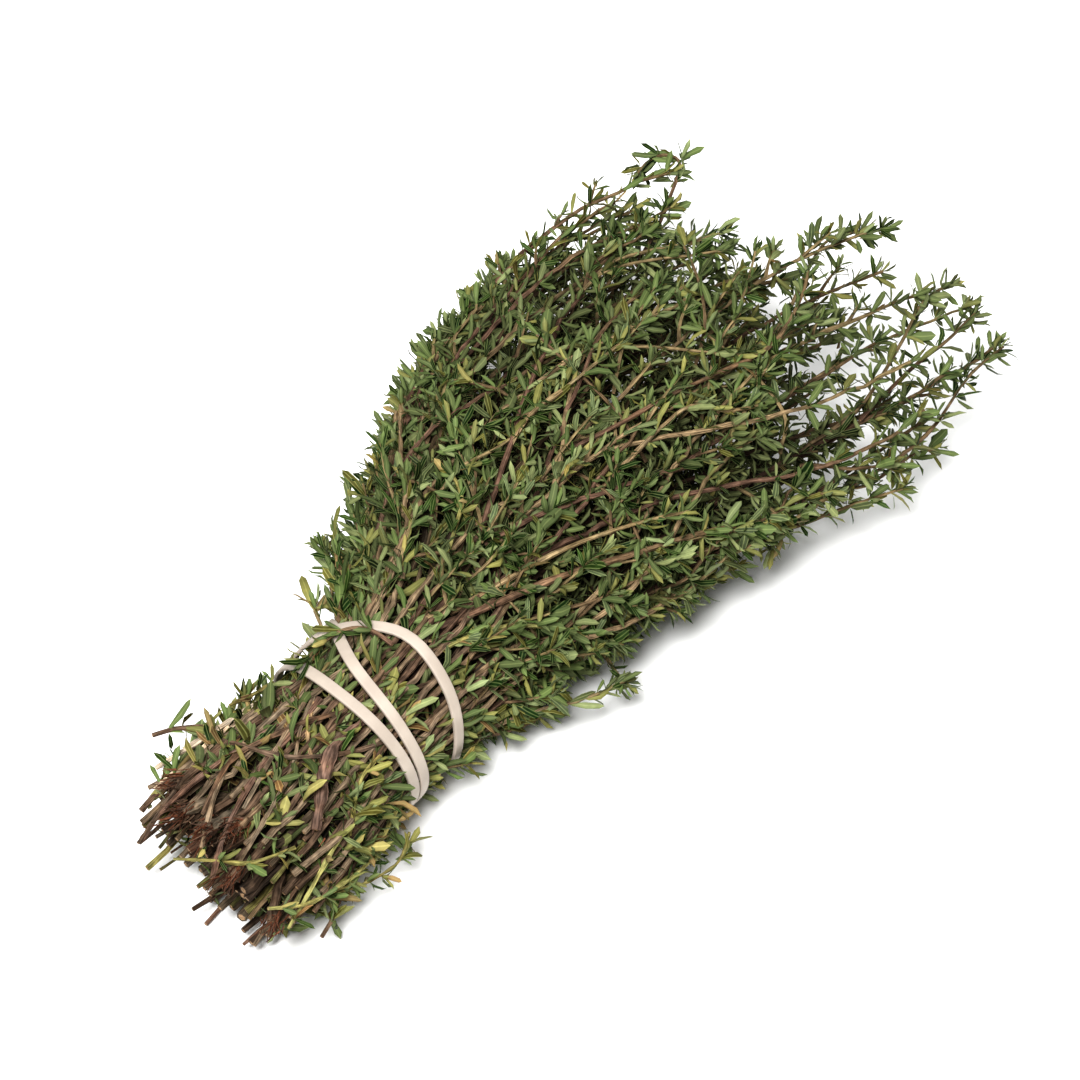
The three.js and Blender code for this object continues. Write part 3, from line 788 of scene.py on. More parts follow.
SHOOT_STARRY = {**STARRY, **SHOOT, "spacing": 6.8, "leaf": 6.2, "lean": 1.0, "buds": (2, 2, 3)}
SHOOT_DENSE = {**DENSE, **SHOOT, "spacing": 3.8, "leaf": 6.6, "lean": 0.6, "buds": (0, 0, 1)}

BAND_MARGIN = 0.5  # clear of the band's edges and inner side
LEAF_ROLL = 0.7
LEAF_HALF_WIDTH = 0.16
LEAF_TESTED_AT = (0.15, 0.4, 0.6, 0.8)
LEAF_ABOVE_TABLE = {"aimed": 0.3, "least": 0.1}
CLOSER_LEANS = (1.0, 0.55, 0.2)
PAIR = {"turn": 0.25, "lean": 0.2, "size": (0.75, 1.2)}
BUD = {"stalk": 0.7, "turn": 0.25, "lean": (0.35, 1.35), "size": (0.6, 1.12), "broad": 0.3}
TIP_PAIRS = [(0.2, 0.3, 3.2), (0.8, 0.6, 4.4), (1.8, 0.9, 5.4)]  # how far below the tip, lean and leaf length
TIP_TWIST = 1.7
FIRST_NODE = 3.2

# Leaves that have turned: colour, chance up in the bunch, how much more at the cut ends, how mixed the tone.
# Each chance includes those above it.
TURNED_LEAVES = [
    (LEAF_YELLOW, 0.006, 0.05, 0.3),
    (LEAF_BROWN, 0.012, 0.12, 0.3),
    (OLIVE, 0.04, 0.28, 0.4),
]
LEAF_TONES = 0.35

# Stretches over which leaves change, in mm: along X, from the tie, or back from the sprig's tip.
OLDER_LEAVES_X = (-20, -90)
FULLER_X = (-12, 4)
SHORTER_LEAVES_X = (-50, 10)
LEAVING_TIE = (8, 22)
OLD_FORMS_BACK = (70, 120)
WIDE_LEAN_BACK = (0, 25)
WIDE_SPACING_BACK = (0, 30)
HIDDEN = {"within": 0.55, "back": 24, "chance": 0.2}
LEAFY_FROM_X = TIE_X - 12
NODE_CHANCE = {"cut_end": 0.85, "leafy": (0.8, 1.0)}
NODE_LEAN = {"tip": 0.65, "tie": 0.7}
NODE_LEAVES = {"draw": (0.85, 1.1), "low_and_high": (1.18, 0.96)}
NODE_BUDS = {"swing": 0.4, "lean": (0.5, 1.0), "closer_at_tie": 0.5}
NODE_SPACING = {"tip": 0.55, "draw": (0.8, 1.2)}


def meets_band(point):
    """Whether a point is in or next to one of the band's turns."""
    y, z = point.y / BAND["half_width"], (point.z - BAND["middle_z"]) / BAND["half_height"]
    out = math.hypot(y, z)
    if abs(out - 1) > (BAND["thick"] / 2 + BAND_MARGIN) / BAND["half_width"]:
        return False
    share = (math.atan2(z, y) / FULL_TURN) % 1.0
    reach = BAND["width"] / 2 + BAND_MARGIN
    return any(abs(point.x - band_x(turn + share)) < reach for turn in range(len(BAND_TURNS)))


def add_fitting_leaf(sprig, form, root, direction, angle, turn, length, tint):
    """A leaf that keeps clear of the band and the table: it leans closer to its stem where it must."""
    for closer in CLOSER_LEANS:
        along, up = leaning(direction, angle * closer, turn)
        up = Quaternion(along, sprig.rng.gauss(0, LEAF_ROLL)) @ up
        tip = root + along * length
        if tip.z < LEAF_ABOVE_TABLE["aimed"]:
            along = (tip + Vector((0, 0, LEAF_ABOVE_TABLE["aimed"] - tip.z)) - root).normalized()
            up = (up - along * up.dot(along)).normalized()
            tip = root + along * length
        side = up.cross(along) * length * LEAF_HALF_WIDTH
        places = [root + along * length * t for t in LEAF_TESTED_AT]
        edges = [p + s for p in places for s in (side, -side)]
        if tip.z > LEAF_ABOVE_TABLE["least"] and not any(meets_band(p) for p in edges + [tip]):
            sprig.add_leaf(form, root, along, up, length, tint)
            return


def leaf_tint(sprig, root):
    """A leaf's colour, its own with painted shade deep in the bunch and painted light at its skin. Leaves
    near the cut ends are older, and more of them have turned.
    """
    old = eased(root.x, *OLDER_LEAVES_X)
    chance = sprig.rng.random()
    for colour, usual, when_old, tones in TURNED_LEAVES:
        if chance < usual + when_old * old:
            return shaded(toned(colour, sprig.rng, tones), root, DEEPEST_PAINTED_SHADE_LEAF)
    colour = sprig.rng.choices(list(sprig.look), weights=sprig.look.values())[0]
    return shaded(toned(colour, sprig.rng, LEAF_TONES), root, DEEPEST_PAINTED_SHADE_LEAF)


def add_pair(sprig, root, direction, turn, angle, length, forms):
    rng = sprig.rng
    for side in (0, math.pi):
        leaf_turn = turn + side + rng.gauss(0, PAIR["turn"])
        size = length * rng.uniform(*PAIR["size"])
        lean = angle + rng.gauss(0, PAIR["lean"])
        tint = leaf_tint(sprig, root)
        add_fitting_leaf(sprig, rng.choice(forms), root, direction, lean, leaf_turn, size, tint)


def add_bud(sprig, root, direction, turn, lean, length, count):
    """A star of small leaves on a short bud beside the stem."""
    rng = sprig.rng
    bud, _ = leaning(direction, lean, turn)
    start = root + bud * BUD["stalk"]
    first = rng.uniform(0, FULL_TURN)
    forms = BROAD_BUD_FORMS if rng.random() < BUD["broad"] else BUD_FORMS
    for j in range(count):
        leaf_turn = first + FULL_TURN * j / count + rng.gauss(0, BUD["turn"])
        size = length * rng.uniform(*BUD["size"])
        tint = leaf_tint(sprig, root)
        leaf_lean = rng.uniform(*BUD["lean"])
        add_fitting_leaf(sprig, rng.choice(forms), start, bud, leaf_lean, leaf_turn, size, tint)


def add_tip(sprig, axis, habit):
    """The close pairs at a growing tip, the last ones small and folded together."""
    size = habit["tip"]
    for back, angle, length in TIP_PAIRS:
        point, direction = axis.at(max(0.0, axis.length - back * size))
        add_pair(sprig, point, direction, back * TIP_TWIST, angle, length * size, BUD_FORMS)


def add_leaf_nodes(sprig, axis, habit):
    """Leaf pairs from the tip down, each turned a quarter from the last, with a bud beside each leaf."""
    rng = sprig.rng
    turn = rng.uniform(0, math.pi)
    d = axis.length - FIRST_NODE
    while d > habit["bare"]:
        point, direction = axis.at(d)
        back = axis.length - d
        turn += math.pi / 2
        near_tie = 1 - eased(abs(point.x - TIE_X), *LEAVING_TIE)
        old = eased(back, *OLD_FORMS_BACK)
        chance = NODE_CHANCE["cut_end"]
        if point.x > LEAFY_FROM_X:
            chance = mix(*NODE_CHANCE["leafy"], eased(point.x, *FULLER_X))
        if how_far_out(point) < HIDDEN["within"] and back > HIDDEN["back"]:
            chance = HIDDEN["chance"]
        lean = mix(NODE_LEAN["tip"], 1.0, eased(back, *WIDE_LEAN_BACK)) * habit["lean"]
        lean = mix(lean, NODE_LEAN["tie"], near_tie)
        if rng.random() < chance:
            forms = OVAL_FORMS if rng.random() < max(old, near_tie) else habit["forms"]
            length = habit["leaf"] * rng.uniform(*NODE_LEAVES["draw"])
            length *= mix(*NODE_LEAVES["low_and_high"], eased(point.x, *SHORTER_LEAVES_X))
            add_pair(sprig, point, direction, turn, lean, length, forms)
            for side in (0, math.pi):
                count = rng.choice(habit["buds"])
                bud_turn = turn + side + rng.gauss(0, NODE_BUDS["swing"])
                bud_lean = rng.uniform(*NODE_BUDS["lean"]) * mix(1.0, NODE_BUDS["closer_at_tie"], near_tie)
                add_bud(sprig, point, direction, bud_turn, bud_lean, length * habit["bud_leaf"], count)
        wider = mix(NODE_SPACING["tip"], 1.0, eased(back, *WIDE_SPACING_BACK))
        d -= wider * habit["spacing"] * rng.uniform(*NODE_SPACING["draw"])


# ---------------- stems and shoots

SHOOT_SECTIONS = 8
TWIG_SECTIONS = 18
STRAY_END_RADIUS = 0.55
STRAY_END_SECTIONS = (0, 9)
STRAY_X = (-88, -114)
STRAY = {"across": 1.3, "up": 1.0}
KINK = 0.26
LOWEST_AXIS = 1.2
YOUNGER_X = (-80, 10)
GREEN_TIP = {"share": 0.4, "along": (0.75, 1.0)}
KNOBS = (0, 0, 0, 0, 2.5)  # how much a section swells, one drawn for each
STEM_TAPER = 1.7
SHOOT_LEANS = (30, 68)  # degrees
SHOOT_ELBOW = 0.45
SHOOT_BEND = {"with_stem": (0.15, 0.75), "across": (-0.2, 0.2), "up": (-0.12, 0.28)}
SHOOT_RADII = (0.52, 0.26)
SHOOT_GREENING = (0.1, 0.6)
LOWEST_SHOOT = 0.8
SHORT_AT_SIDES = {"to": 0.42, "middle_y": 3, "from_middle": (20, 34)}
SHOOTS_BETWEEN = {"half_below_x": -5, "down": (0.33, 0.66), "swing": (0.7, 2.0), "size": (0.4, 0.85)}
DENSE_SHARE = {"left": 0.7, "left_from_y": 15, "elsewhere": 0.2}


def kinked(path, rng):
    """The slight zigzag of a stem from one leaf pair to the next, and its stray at the cut end."""
    stray = Vector((0, rng.gauss(0, STRAY["across"]), rng.gauss(0, STRAY["up"])))
    bent = [p + jitter(rng, KINK) + stray * eased(p.x, *STRAY_X) for p in path]
    return [Vector((p.x, p.y, max(p.z, LOWEST_AXIS))) for p in bent]


def thinned(radii, stem):
    """A stem whose cut end strays from the bunch is a thin one there."""
    if "stray_end" not in stem:
        return radii
    return [min(r, mix(STRAY_END_RADIUS, r, eased(k, *STRAY_END_SECTIONS))) for k, r in enumerate(radii)]


def knobbly(radii, rng, amount=0.09):
    """The small swellings of a stem, where leaf pairs sat."""
    return [r * (1 + rng.uniform(-amount, amount) + rng.choice(KNOBS) * amount) for r in radii]


def stem_tints(look, from_x, to_x):
    """Bark at the cut end, the younger colour further up, green-tan at the tip."""
    tints = []
    for t in shares(STEM_SECTIONS):
        tint = blended(*look, eased(mix(from_x, to_x, t), *YOUNGER_X))
        tints.append(blended(tint, YOUNG_STEM, GREEN_TIP["share"] * eased(t, *GREEN_TIP["along"])))
    return tints


def greening(colour, from_share, to_share, count):
    """A stem's own colour, turning toward a young stem's on its way."""
    return [blended(colour, YOUNG_STEM, t) for t in tapered(from_share, to_share, count)]


def add_leafy_stem(sprig, shape, path, radii, tints, habit, turn=0.0):
    """A stem with the leaves of its tip and of its leaf nodes."""
    sprig.add_stem(shape, path, radii, tints, turn)
    axis = Axis(path)
    add_tip(sprig, axis, habit)
    add_leaf_nodes(sprig, axis, habit)


def shoot_path(rng, root, direction, turn, length):
    """A shoot leaves its stem at a wide angle, then bends toward the stem's direction, hangs or lifts."""
    along, _ = leaning(direction, math.radians(rng.uniform(*SHOOT_LEANS)), turn)
    later = along.lerp(direction, rng.uniform(*SHOOT_BEND["with_stem"])).normalized()
    bend = Vector((0, rng.uniform(*SHOOT_BEND["across"]), rng.uniform(*SHOOT_BEND["up"])))
    elbow = root + along * length * SHOOT_ELBOW
    end = elbow + (later + bend).normalized() * length * (1 - SHOOT_ELBOW)
    return [root.lerp(elbow, t).lerp(elbow.lerp(end, t), t) for t in shares(SHOOT_SECTIONS)]


def add_shoot(sprig, root, direction, turn, length, habit):
    path = shoot_path(sprig.rng, root, direction, turn, length)
    if any(meets_band(p) or p.z < LOWEST_SHOOT for p in path):
        return
    radii = tapered(*SHOOT_RADII, SHOOT_SECTIONS)
    tints = greening(sprig.stem_look[1], *SHOOT_GREENING, SHOOT_SECTIONS)
    add_leafy_stem(sprig, SHOOT_SHAPE, path, radii, tints, habit)


def add_side_shoots(sprig, stem_id, axis, habit):
    """Shoots that grow out of the bunch, the lower ones longer, with shorter ones between them."""
    rng = sprig.rng
    spacing = SHOOT_ROW["spacing"]
    first = spacing * (SHOOT_ROW["first"] + SHOOT_ROW["first_spread"] * draw(stem_id, DRAWS["first_shoot"]))
    d, item = axis.length - first, 0
    while d > 0:
        root, direction = axis.at(d)
        if root.x < SHOOTS_FROM_X:
            return
        item += 1
        size = 1 + spread(SHOOT_SPREAD["size"], stem_id, DRAWS["shoot"] + item)
        length = SHOOT_LENGTH * (1 - SHOOT_ROW["shorter_at_base"] * d / axis.length) * size
        from_middle = abs(root.y - SHORT_AT_SIDES["middle_y"])
        length *= mix(1.0, SHORT_AT_SIDES["to"], eased(from_middle, *SHORT_AT_SIDES["from_middle"]))
        turn = outward_turn(root, direction)
        turn += spread(SHOOT_SPREAD["swing"], stem_id, DRAWS["shoot_turn"] + item)
        add_shoot(sprig, root, direction, turn, length, habit)
        d -= spacing
        if root.x < SHOOTS_BETWEEN["half_below_x"] and rng.random() < 0.5:
            continue
        for back in SHOOTS_BETWEEN["down"]:
            between_root, between_direction = axis.at(d + spacing * (1 - back))
            other_turn = turn + rng.choice((-1, 1)) * rng.uniform(*SHOOTS_BETWEEN["swing"])
            other_length = length * rng.uniform(*SHOOTS_BETWEEN["size"])
            add_shoot(sprig, between_root, between_direction, other_turn, other_length, habit)


def grow(sprig, stem_id, path, radius, stem=()):
    """One leafy stem with its side shoots, tip and leaves."""
    radii = thinned(knobbly(tapered(radius, STEM_TIP_RADIUS, STEM_SECTIONS, STEM_TAPER), sprig.rng), stem)
    sprig.add_stem(STEM_SHAPE, path, radii, stem_tints(sprig.stem_look, path[0].x, path[-1].x), stem_id)
    axis = Axis(path)
    side = "left" if path[-1].y > DENSE_SHARE["left_from_y"] else "elsewhere"
    dense = sprig.rng.random() < DENSE_SHARE[side]
    habit = DENSE if dense else STARRY
    add_tip(sprig, axis, habit)
    if path[-1].x > 0:
        add_side_shoots(sprig, stem_id, axis, SHOOT_DENSE if dense else SHOOT_STARRY)
    add_leaf_nodes(sprig, axis, habit)


# ---------------- the sprigs and bare stems of the frame

SPRIG_SLOTS = ["sprig_dark_green", "sprig_olive_green", "sprig_deep_green", "sprig_grey_green"]
BARK_SLOTS = ["bark_grey_brown", "bark_dark_brown"]

# Each kind of piece starts its random draws at a number of its own.
SEEDS = {
    "leafy_sprig": 1000, "bare_stem": 2000, "extra_sprig": 3000, "shown_twig": 4000, "knotted_stub": 4100,
    "frayed_stem": 4200, "thin_twigs": 5000, "crossing_sprig": 6000, "outer_sprig": 7000,
    "lying_shoots": 8000, "overlying_stem": 9000,
}


def draws_for(kind, k):
    return random.Random(SEEDS[kind] + k)


def in_turn(choices, k):
    return choices[k % len(choices)]


def shifted(choices, by):
    return choices[by:] + choices[:by]


def finish_piece(sprig, slot, *nodes):
    piece = sprig.build()
    if nodes:
        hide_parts(*nodes)


def pieces(kind, items, slots, nodes=None, looks=LEAF_LOOKS, stem_looks=STEM_LOOKS):
    """A new piece for each item, with a number and draws of its own, finished once the loop has filled it."""
    for k, item in enumerate(items):
        number = f"{k + 1:02d}"
        sprig = Sprig(f"{kind}_{number}", draws_for(kind, k), in_turn(looks, k), in_turn(stem_looks, k))
        yield k, item, sprig
        replaced = [f"{nodes}_{number}"] if nodes else []
        finish_piece(sprig, in_turn(slots, k), *replaced)


def make_leafy_sprigs(stems):
    for _, stem, sprig in pieces("leafy_sprig", stems, SPRIG_SLOTS, "sprig"):
        end_x = stem["long_tip"].x if "long_tip" in stem else usual_tip_x(stem["id"])
        path = kinked(stem_line(stem, end_x), sprig.rng)
        grow(sprig, stem["id"], path, STEM_RADIUS * sprig.rng.uniform(*STEM_SIZES), stem)


def make_bare_stems(stems):
    for k, stem, sprig in pieces("bare_stem", stems, BARK_SLOTS, "woody_stem"):
        rng = sprig.rng
        end_x = BARE_STEM["end_x"] + spread(BARE_STEM["end_spread"], stem["id"], DRAWS["tip"])
        path = kinked(stem_line(stem, end_x), rng)
        radius = BARE_STEM["radius"] * rng.uniform(*BARE_STEM["sizes"])
        radii = knobbly(tapered(radius, radius * BARE_STEM["thin_to"], STEM_SECTIONS), rng, 0.12)
        bark = in_turn((GREY_BARK, DARK_BARK), k)
        sprig.add_stem(STEM_SHAPE, path, thinned(radii, stem), [toned(bark, rng, 0.12) for _ in path], k)


# ---------------- sprigs that fill the bunch and lie over it

# Tips of sprigs that show at the bunch's edge and on top: x, y, z. The others end at random.
EXTRA_TIPS = [
    (88, 36, 42), (88, 20, 43), (84, 6, 43), (86, 37, 38), (95, 0, 35), (98, -10, 31),
    (94, -20, 29), (84, -24, 20), (76, -30, 20), (88, -12, 22), (66, -30, 16), (82, 2, 22),
    (60, -36, 16), (74, -36, 24), (66, 46, 37), (77, 39, 39), (53, 46, 35), (35, 44, 33),
    (14, 39, 31), (-10, 34, 29), (-28, 31, 28), (-42, 29, 31), (-49, 26, 31), (29, -36, 20),
    (13, -33, 18), (-4, -32, 17), (-13, -35, 13), (-28, -25, 11), (-38, -22, 11), (-50, -19, 12),
]
EXTRA_SPRIGS = 61
EXTRA_SIZES = (0.7, 1.1)
EXTRA_ENDS_X = (48, 98)
EXTRA_STARTS = (2, 24)  # past the middle of the cut ends
EXTRA_OUT = (0.25, 1.05)
EXTRA_AT_TIE = (0.85, 1.16)
TIGHT_X = (-18, -48)
WANDERING_X = (TIE_X + 15, TIE_X + 65)
WANDER = {"size": 2.6, "length": 21.0}
THIN_STEM_RADIUS = 0.7
RIGHT_SIDE_SHORT = 45.0
CROSSING_SPRIGS = 22
CROSSING_LINE = {"turns": (-10, 190), "swing": (0.35, 1.1), "start_x": (-112, -98), "end_x": (25, 88)}
CROSSING_OUT = {"tie_and_beyond": (1.08, 1.02), "wave": 0.05, "wave_length": 14}
CROSSING_TAPER = 2.5


def extra_place(k, rng):
    """An extra sprig's tip, and its place in the section on the way there."""
    if k < len(EXTRA_TIPS):
        tip = Vector(EXTRA_TIPS[k])
        u, v = place_in_section(tip)
        shrink = min(1.0, 0.98 / math.hypot(u, v))
        return tip, u * shrink, v * shrink
    r = math.sqrt(mix(*EXTRA_OUT, (k + 0.5 - len(EXTRA_TIPS)) / (EXTRA_SPRIGS - len(EXTRA_TIPS))))
    turn = k * GOLDEN_ANGLE + 0.9
    u, v = r * math.cos(turn), r * math.sin(turn)
    end_x = rng.uniform(*EXTRA_ENDS_X) - shorter_by(u, v) - RIGHT_SIDE_SHORT * max(0.0, -u - 0.35)
    return in_section(end_x, u + rng.uniform(-0.15, 0.15), v + rng.uniform(-0.15, 0.15)), u, v


def extra_path(k, rng):
    """A thinner sprig's line: through the tie, then out to its tip, wandering a little on its way."""
    tip, u, v = extra_place(k, rng)
    start_x = CUT_END["middle_x"] + rng.uniform(*EXTRA_STARTS)
    at_tie = rng.uniform(*EXTRA_AT_TIE) / max(0.6, math.hypot(u, v))
    phases = [rng.uniform(0, FULL_TURN) for _ in range(2)]
    shift = tip - in_section(tip.x, u, v)
    bend_x = mix(TIE_X, tip.x, 0.2)
    path = []
    for x in tapered(start_x, tip.x, STEM_SECTIONS):
        tight = mix(1.0, at_tie, eased(x, *TIGHT_X))
        free = WANDER["size"] * eased(x, *WANDERING_X)
        sway = [free * math.sin(x / WANDER["length"] + phase) for phase in phases]
        to_tip = shift * eased(x, bend_x, tip.x)
        path.append(in_section(x, u * tight, v * tight) + to_tip + Vector((0, *sway)))
    return kinked(path, rng)


def make_extra_sprigs():
    """Thinner sprigs between the others, which fill the bunch."""
    slots, looks, stem_looks = shifted(SPRIG_SLOTS, 1), shifted(LEAF_LOOKS, 1), shifted(STEM_LOOKS, 2)
    for k, _, sprig in pieces("extra_sprig", range(EXTRA_SPRIGS), slots, looks=looks, stem_looks=stem_looks):
        radius = THIN_STEM_RADIUS * sprig.rng.uniform(*EXTRA_SIZES)
        grow(sprig, 100 + k, extra_path(k, sprig.rng), radius)


def make_crossing_sprigs():
    """Sprigs with few leaves that lie over the others and cross them at a slant."""
    for k, _, sprig in pieces("crossing_sprig", range(CROSSING_SPRIGS), SPRIG_SLOTS):
        rng = sprig.rng
        from_turn = math.radians(mix(*CROSSING_LINE["turns"], (k * 0.618) % 1.0))
        to_turn = from_turn + rng.choice((-1, 1)) * rng.uniform(*CROSSING_LINE["swing"])
        end_x = rng.uniform(*CROSSING_LINE["end_x"])
        start_x = rng.uniform(*CROSSING_LINE["start_x"])
        phase = rng.uniform(0, FULL_TURN)
        path = []
        for x in tapered(start_x, end_x, STEM_SECTIONS):
            wave = CROSSING_OUT["wave"] * math.sin(x / CROSSING_OUT["wave_length"] + phase)
            out = mix(*CROSSING_OUT["tie_and_beyond"], eased(x, -45, -25)) + wave * eased(x, -40, -10)
            path.append(round_section(x, out, mix(from_turn, to_turn, eased(x, -50, end_x))))
        path = kinked(path, rng)
        radii = knobbly(tapered(THIN_STEM_RADIUS, STEM_TIP_RADIUS, STEM_SECTIONS, CROSSING_TAPER), rng)
        tints = stem_tints(sprig.stem_look, start_x, end_x)
        add_leafy_stem(sprig, STEM_SHAPE, path, radii, tints, CROSSING, k)


# Sprigs that stand out from the bunch, each through points of its own: x, y, z.
OUTER_SPRIGS = [
    [(33, -34, 20), (48, -41, 22), (65, -49.5, 25), (82, -54.5, 29), (99, -53.5, 33), (111, -55.5, 35)],
    [(17, -18, 16), (31, -30, 18), (44, -42, 20), (57, -50, 22), (67, -58, 25)],
    [(64, -16, 44), (80, -13.5, 46), (94, -9.6, 48), (103, -10, 50), (113, -19, 50)],
    [(55, -36, 34), (71, -41, 38), (90, -39, 42), (103, -36.5, 45), (111, -39, 46)],
    [
        (69, 24.4, 45), (80, 26.8, 46.5), (90, 30.2, 48), (97.5, 33.2, 49),
        (99.8, 35.8, 49.5), (98.6, 39.3, 49.5), (95, 41, 49), (90, 41, 48),
    ],
    [(70, -42.5, 36), (88, -43.5, 38), (101, -46, 40), (111, -46.5, 41)],
    [(-7, -13, 20), (-10, -27, 16), (-13, -37, 13)],
    [(-20, 14, 42), (-16, 16, 46), (-9, 15, 50), (0, 11, 52), (10, 10, 52)],
    [(-55.5, -3, 45.2), (-55.5, 4, 45.2), (-58.5, 9, 43.8), (-64, 10.5, 43.2), (-71, 10.5, 43)],
]
OUTER_RADII = (0.55, 0.304)

# Long stems that show on top of the leaves: radius, colour, the share that is bare, and points.
OVERLYING_STEMS = [
    (0.85, RED_STEM, 0.72, [
        (-41.5, -5.2, 39), (-31.2, -11.8, 42), (-15.5, -19.4, 43), (-0.2, -27.8, 42.5), (18.8, -36, 39),
        (34, -42.9, 32),
    ]),
    (0.6, TAN_STEM, 0.5, [
        (-37.6, -4.9, 39.6), (-26.2, -10.4, 44), (-11.6, -16.3, 46.2), (3.1, -23.7, 46.5), (17.6, -31.4, 44),
    ]),
    (0.55, YELLOW_STEM, 0.35, [
        (-48.7, -7.5, 37), (-40.6, -12.4, 40.2), (-30.7, -17.9, 38.8), (-21.5, -25.1, 33.8),
        (-10.5, -30.4, 21),
    ]),
    (0.5, TAN_STEM, 0.3, [
        (5.9, -13, 47.5), (19.4, -15.2, 52.9), (28.1, -15.8, 54), (36.6, -17.4, 54), (41.5, -23.7, 52),
        (48.8, -27.9, 50.5),
    ]),
    (0.55, RED_STEM, 0.25, [
        (8.2, -0.5, 50.2), (20.8, -8.2, 55.2), (34.1, -11.7, 55.2), (48.9, -16.8, 54.6), (62.1, -20.8, 54),
        (77.5, -18.1, 55), (85.4, -14.5, 56),
    ]),
    (0.5, TAN_STEM, 0.3, [(-3.5, 7.9, 48.6), (8.2, 9.6, 55), (21.9, 7.4, 56.8), (39.1, 6.2, 56.5)]),
    (0.5, YELLOW_STEM, 0.1, [(-32.1, 2.5, 42), (-23.1, 5.4, 48.3), (-16.2, 8.9, 50), (-11.2, 16.6, 49.9)]),
]
LYING_SHOOTS = 44
LYING_GROUPS = 4
LYING_RADII = (0.5, 0.2922)
LYING_ROOT = {"x": (-38, 58), "turn": (5, 200)}
LYING_LINE = {"heading": 0.75, "bow": (-0.7, 0.7), "length": (22, 40)}
LYING_OUT = {"root_and_rest": (0.93, 1.06), "tip_lift": 0.05}


def make_outer_sprigs():
    stem_looks = shifted(STEM_LOOKS, 1)
    for _, points, sprig in pieces("outer_sprig", OUTER_SPRIGS, SPRIG_SLOTS, stem_looks=stem_looks):
        radii = knobbly(tapered(*OUTER_RADII, TWIG_SECTIONS), sprig.rng)
        tints = greening(sprig.stem_look[1], 0, 0.5, TWIG_SECTIONS)
        add_leafy_stem(sprig, TWIG_SHAPE, through(points, TWIG_SECTIONS), radii, tints, OUTER)


def make_overlying_stems():
    """Woody stems that cross over the leaves at the front of the bunch."""
    for _, (radius, colour, bare, points), sprig in pieces("overlying_stem", OVERLYING_STEMS, SPRIG_SLOTS):
        path = through(points, TWIG_SECTIONS)
        radii = knobbly(tapered(radius, STEM_TIP_RADIUS, TWIG_SECTIONS, 2), sprig.rng, 0.12)
        tints = [toned(tint, sprig.rng, 0.1) for tint in greening(colour, 0, 0.4, TWIG_SECTIONS)]
        habit = {**OUTER, "tip": 1.15, "bare": Axis(path).length * bare}
        add_leafy_stem(sprig, TWIG_SHAPE, path, radii, tints, habit)


def lying_path(rng):
    """A short curve over the bunch's skin, sunk a little at its root and lifted at its tip."""
    x, turn = rng.uniform(*LYING_ROOT["x"]), math.radians(rng.uniform(*LYING_ROOT["turn"]))
    heading = rng.gauss(0, LYING_LINE["heading"])
    bow = rng.uniform(*LYING_LINE["bow"])
    step = rng.uniform(*LYING_LINE["length"]) / TWIG_SECTIONS
    path = []
    for t in shares(TWIG_SECTIONS):
        out = mix(*LYING_OUT["root_and_rest"], eased(t, 0, 0.4)) + LYING_OUT["tip_lift"] * eased(t, 0.8, 1.0)
        path.append(round_section(x, out, turn))
        _, half_width, _, half_height = section_at(x)
        x += math.cos(heading + bow * t) * step
        turn += math.sin(heading + bow * t) * step * 2 / (half_width + half_height)
    return path


def make_lying_shoots():
    """Short curved shoots that lie over the bunch at all slants, each group one piece."""
    for g, _, sprig in pieces("lying_shoots", range(LYING_GROUPS), SPRIG_SLOTS):
        radii = tapered(*LYING_RADII, TWIG_SECTIONS)
        tints = greening(sprig.stem_look[1], 0.3, 0.3, TWIG_SECTIONS)
        for k in range(g, LYING_SHOOTS, LYING_GROUPS):
            sprig.rng = draws_for("lying_shoots", k)
            add_leafy_stem(sprig, TWIG_SHAPE, lying_path(sprig.rng), radii, tints, OUTER)


DEAD_LEAF_PLACE = (-12.5, 16.5, 48.0)
DEAD_LEAF_LENGTH = 5.6
DEAD_LEAF_BLADES = [((0.7, -0.6, 0.45), (0.5, 0.5, 0.6)), ((0.1, 0.7, 0.6), (0.8, 0.3, -0.3))]  # along, up


def make_dead_leaf():
    """A curled leaf that has turned orange, on top of the bunch."""
    sprig = Sprig("dead_leaf")
    for along, up in DEAD_LEAF_BLADES:
        along = Vector(along).normalized()
        up = Vector(up)
        up = (up - along * up.dot(along)).normalized()
        sprig.add_leaf("broad", Vector(DEAD_LEAF_PLACE), along, up, DEAD_LEAF_LENGTH, DEAD_LEAF)
    finish_piece(sprig, "sprig_olive_green")


# ---------------- twigs, torn bark and leaves at the cut end

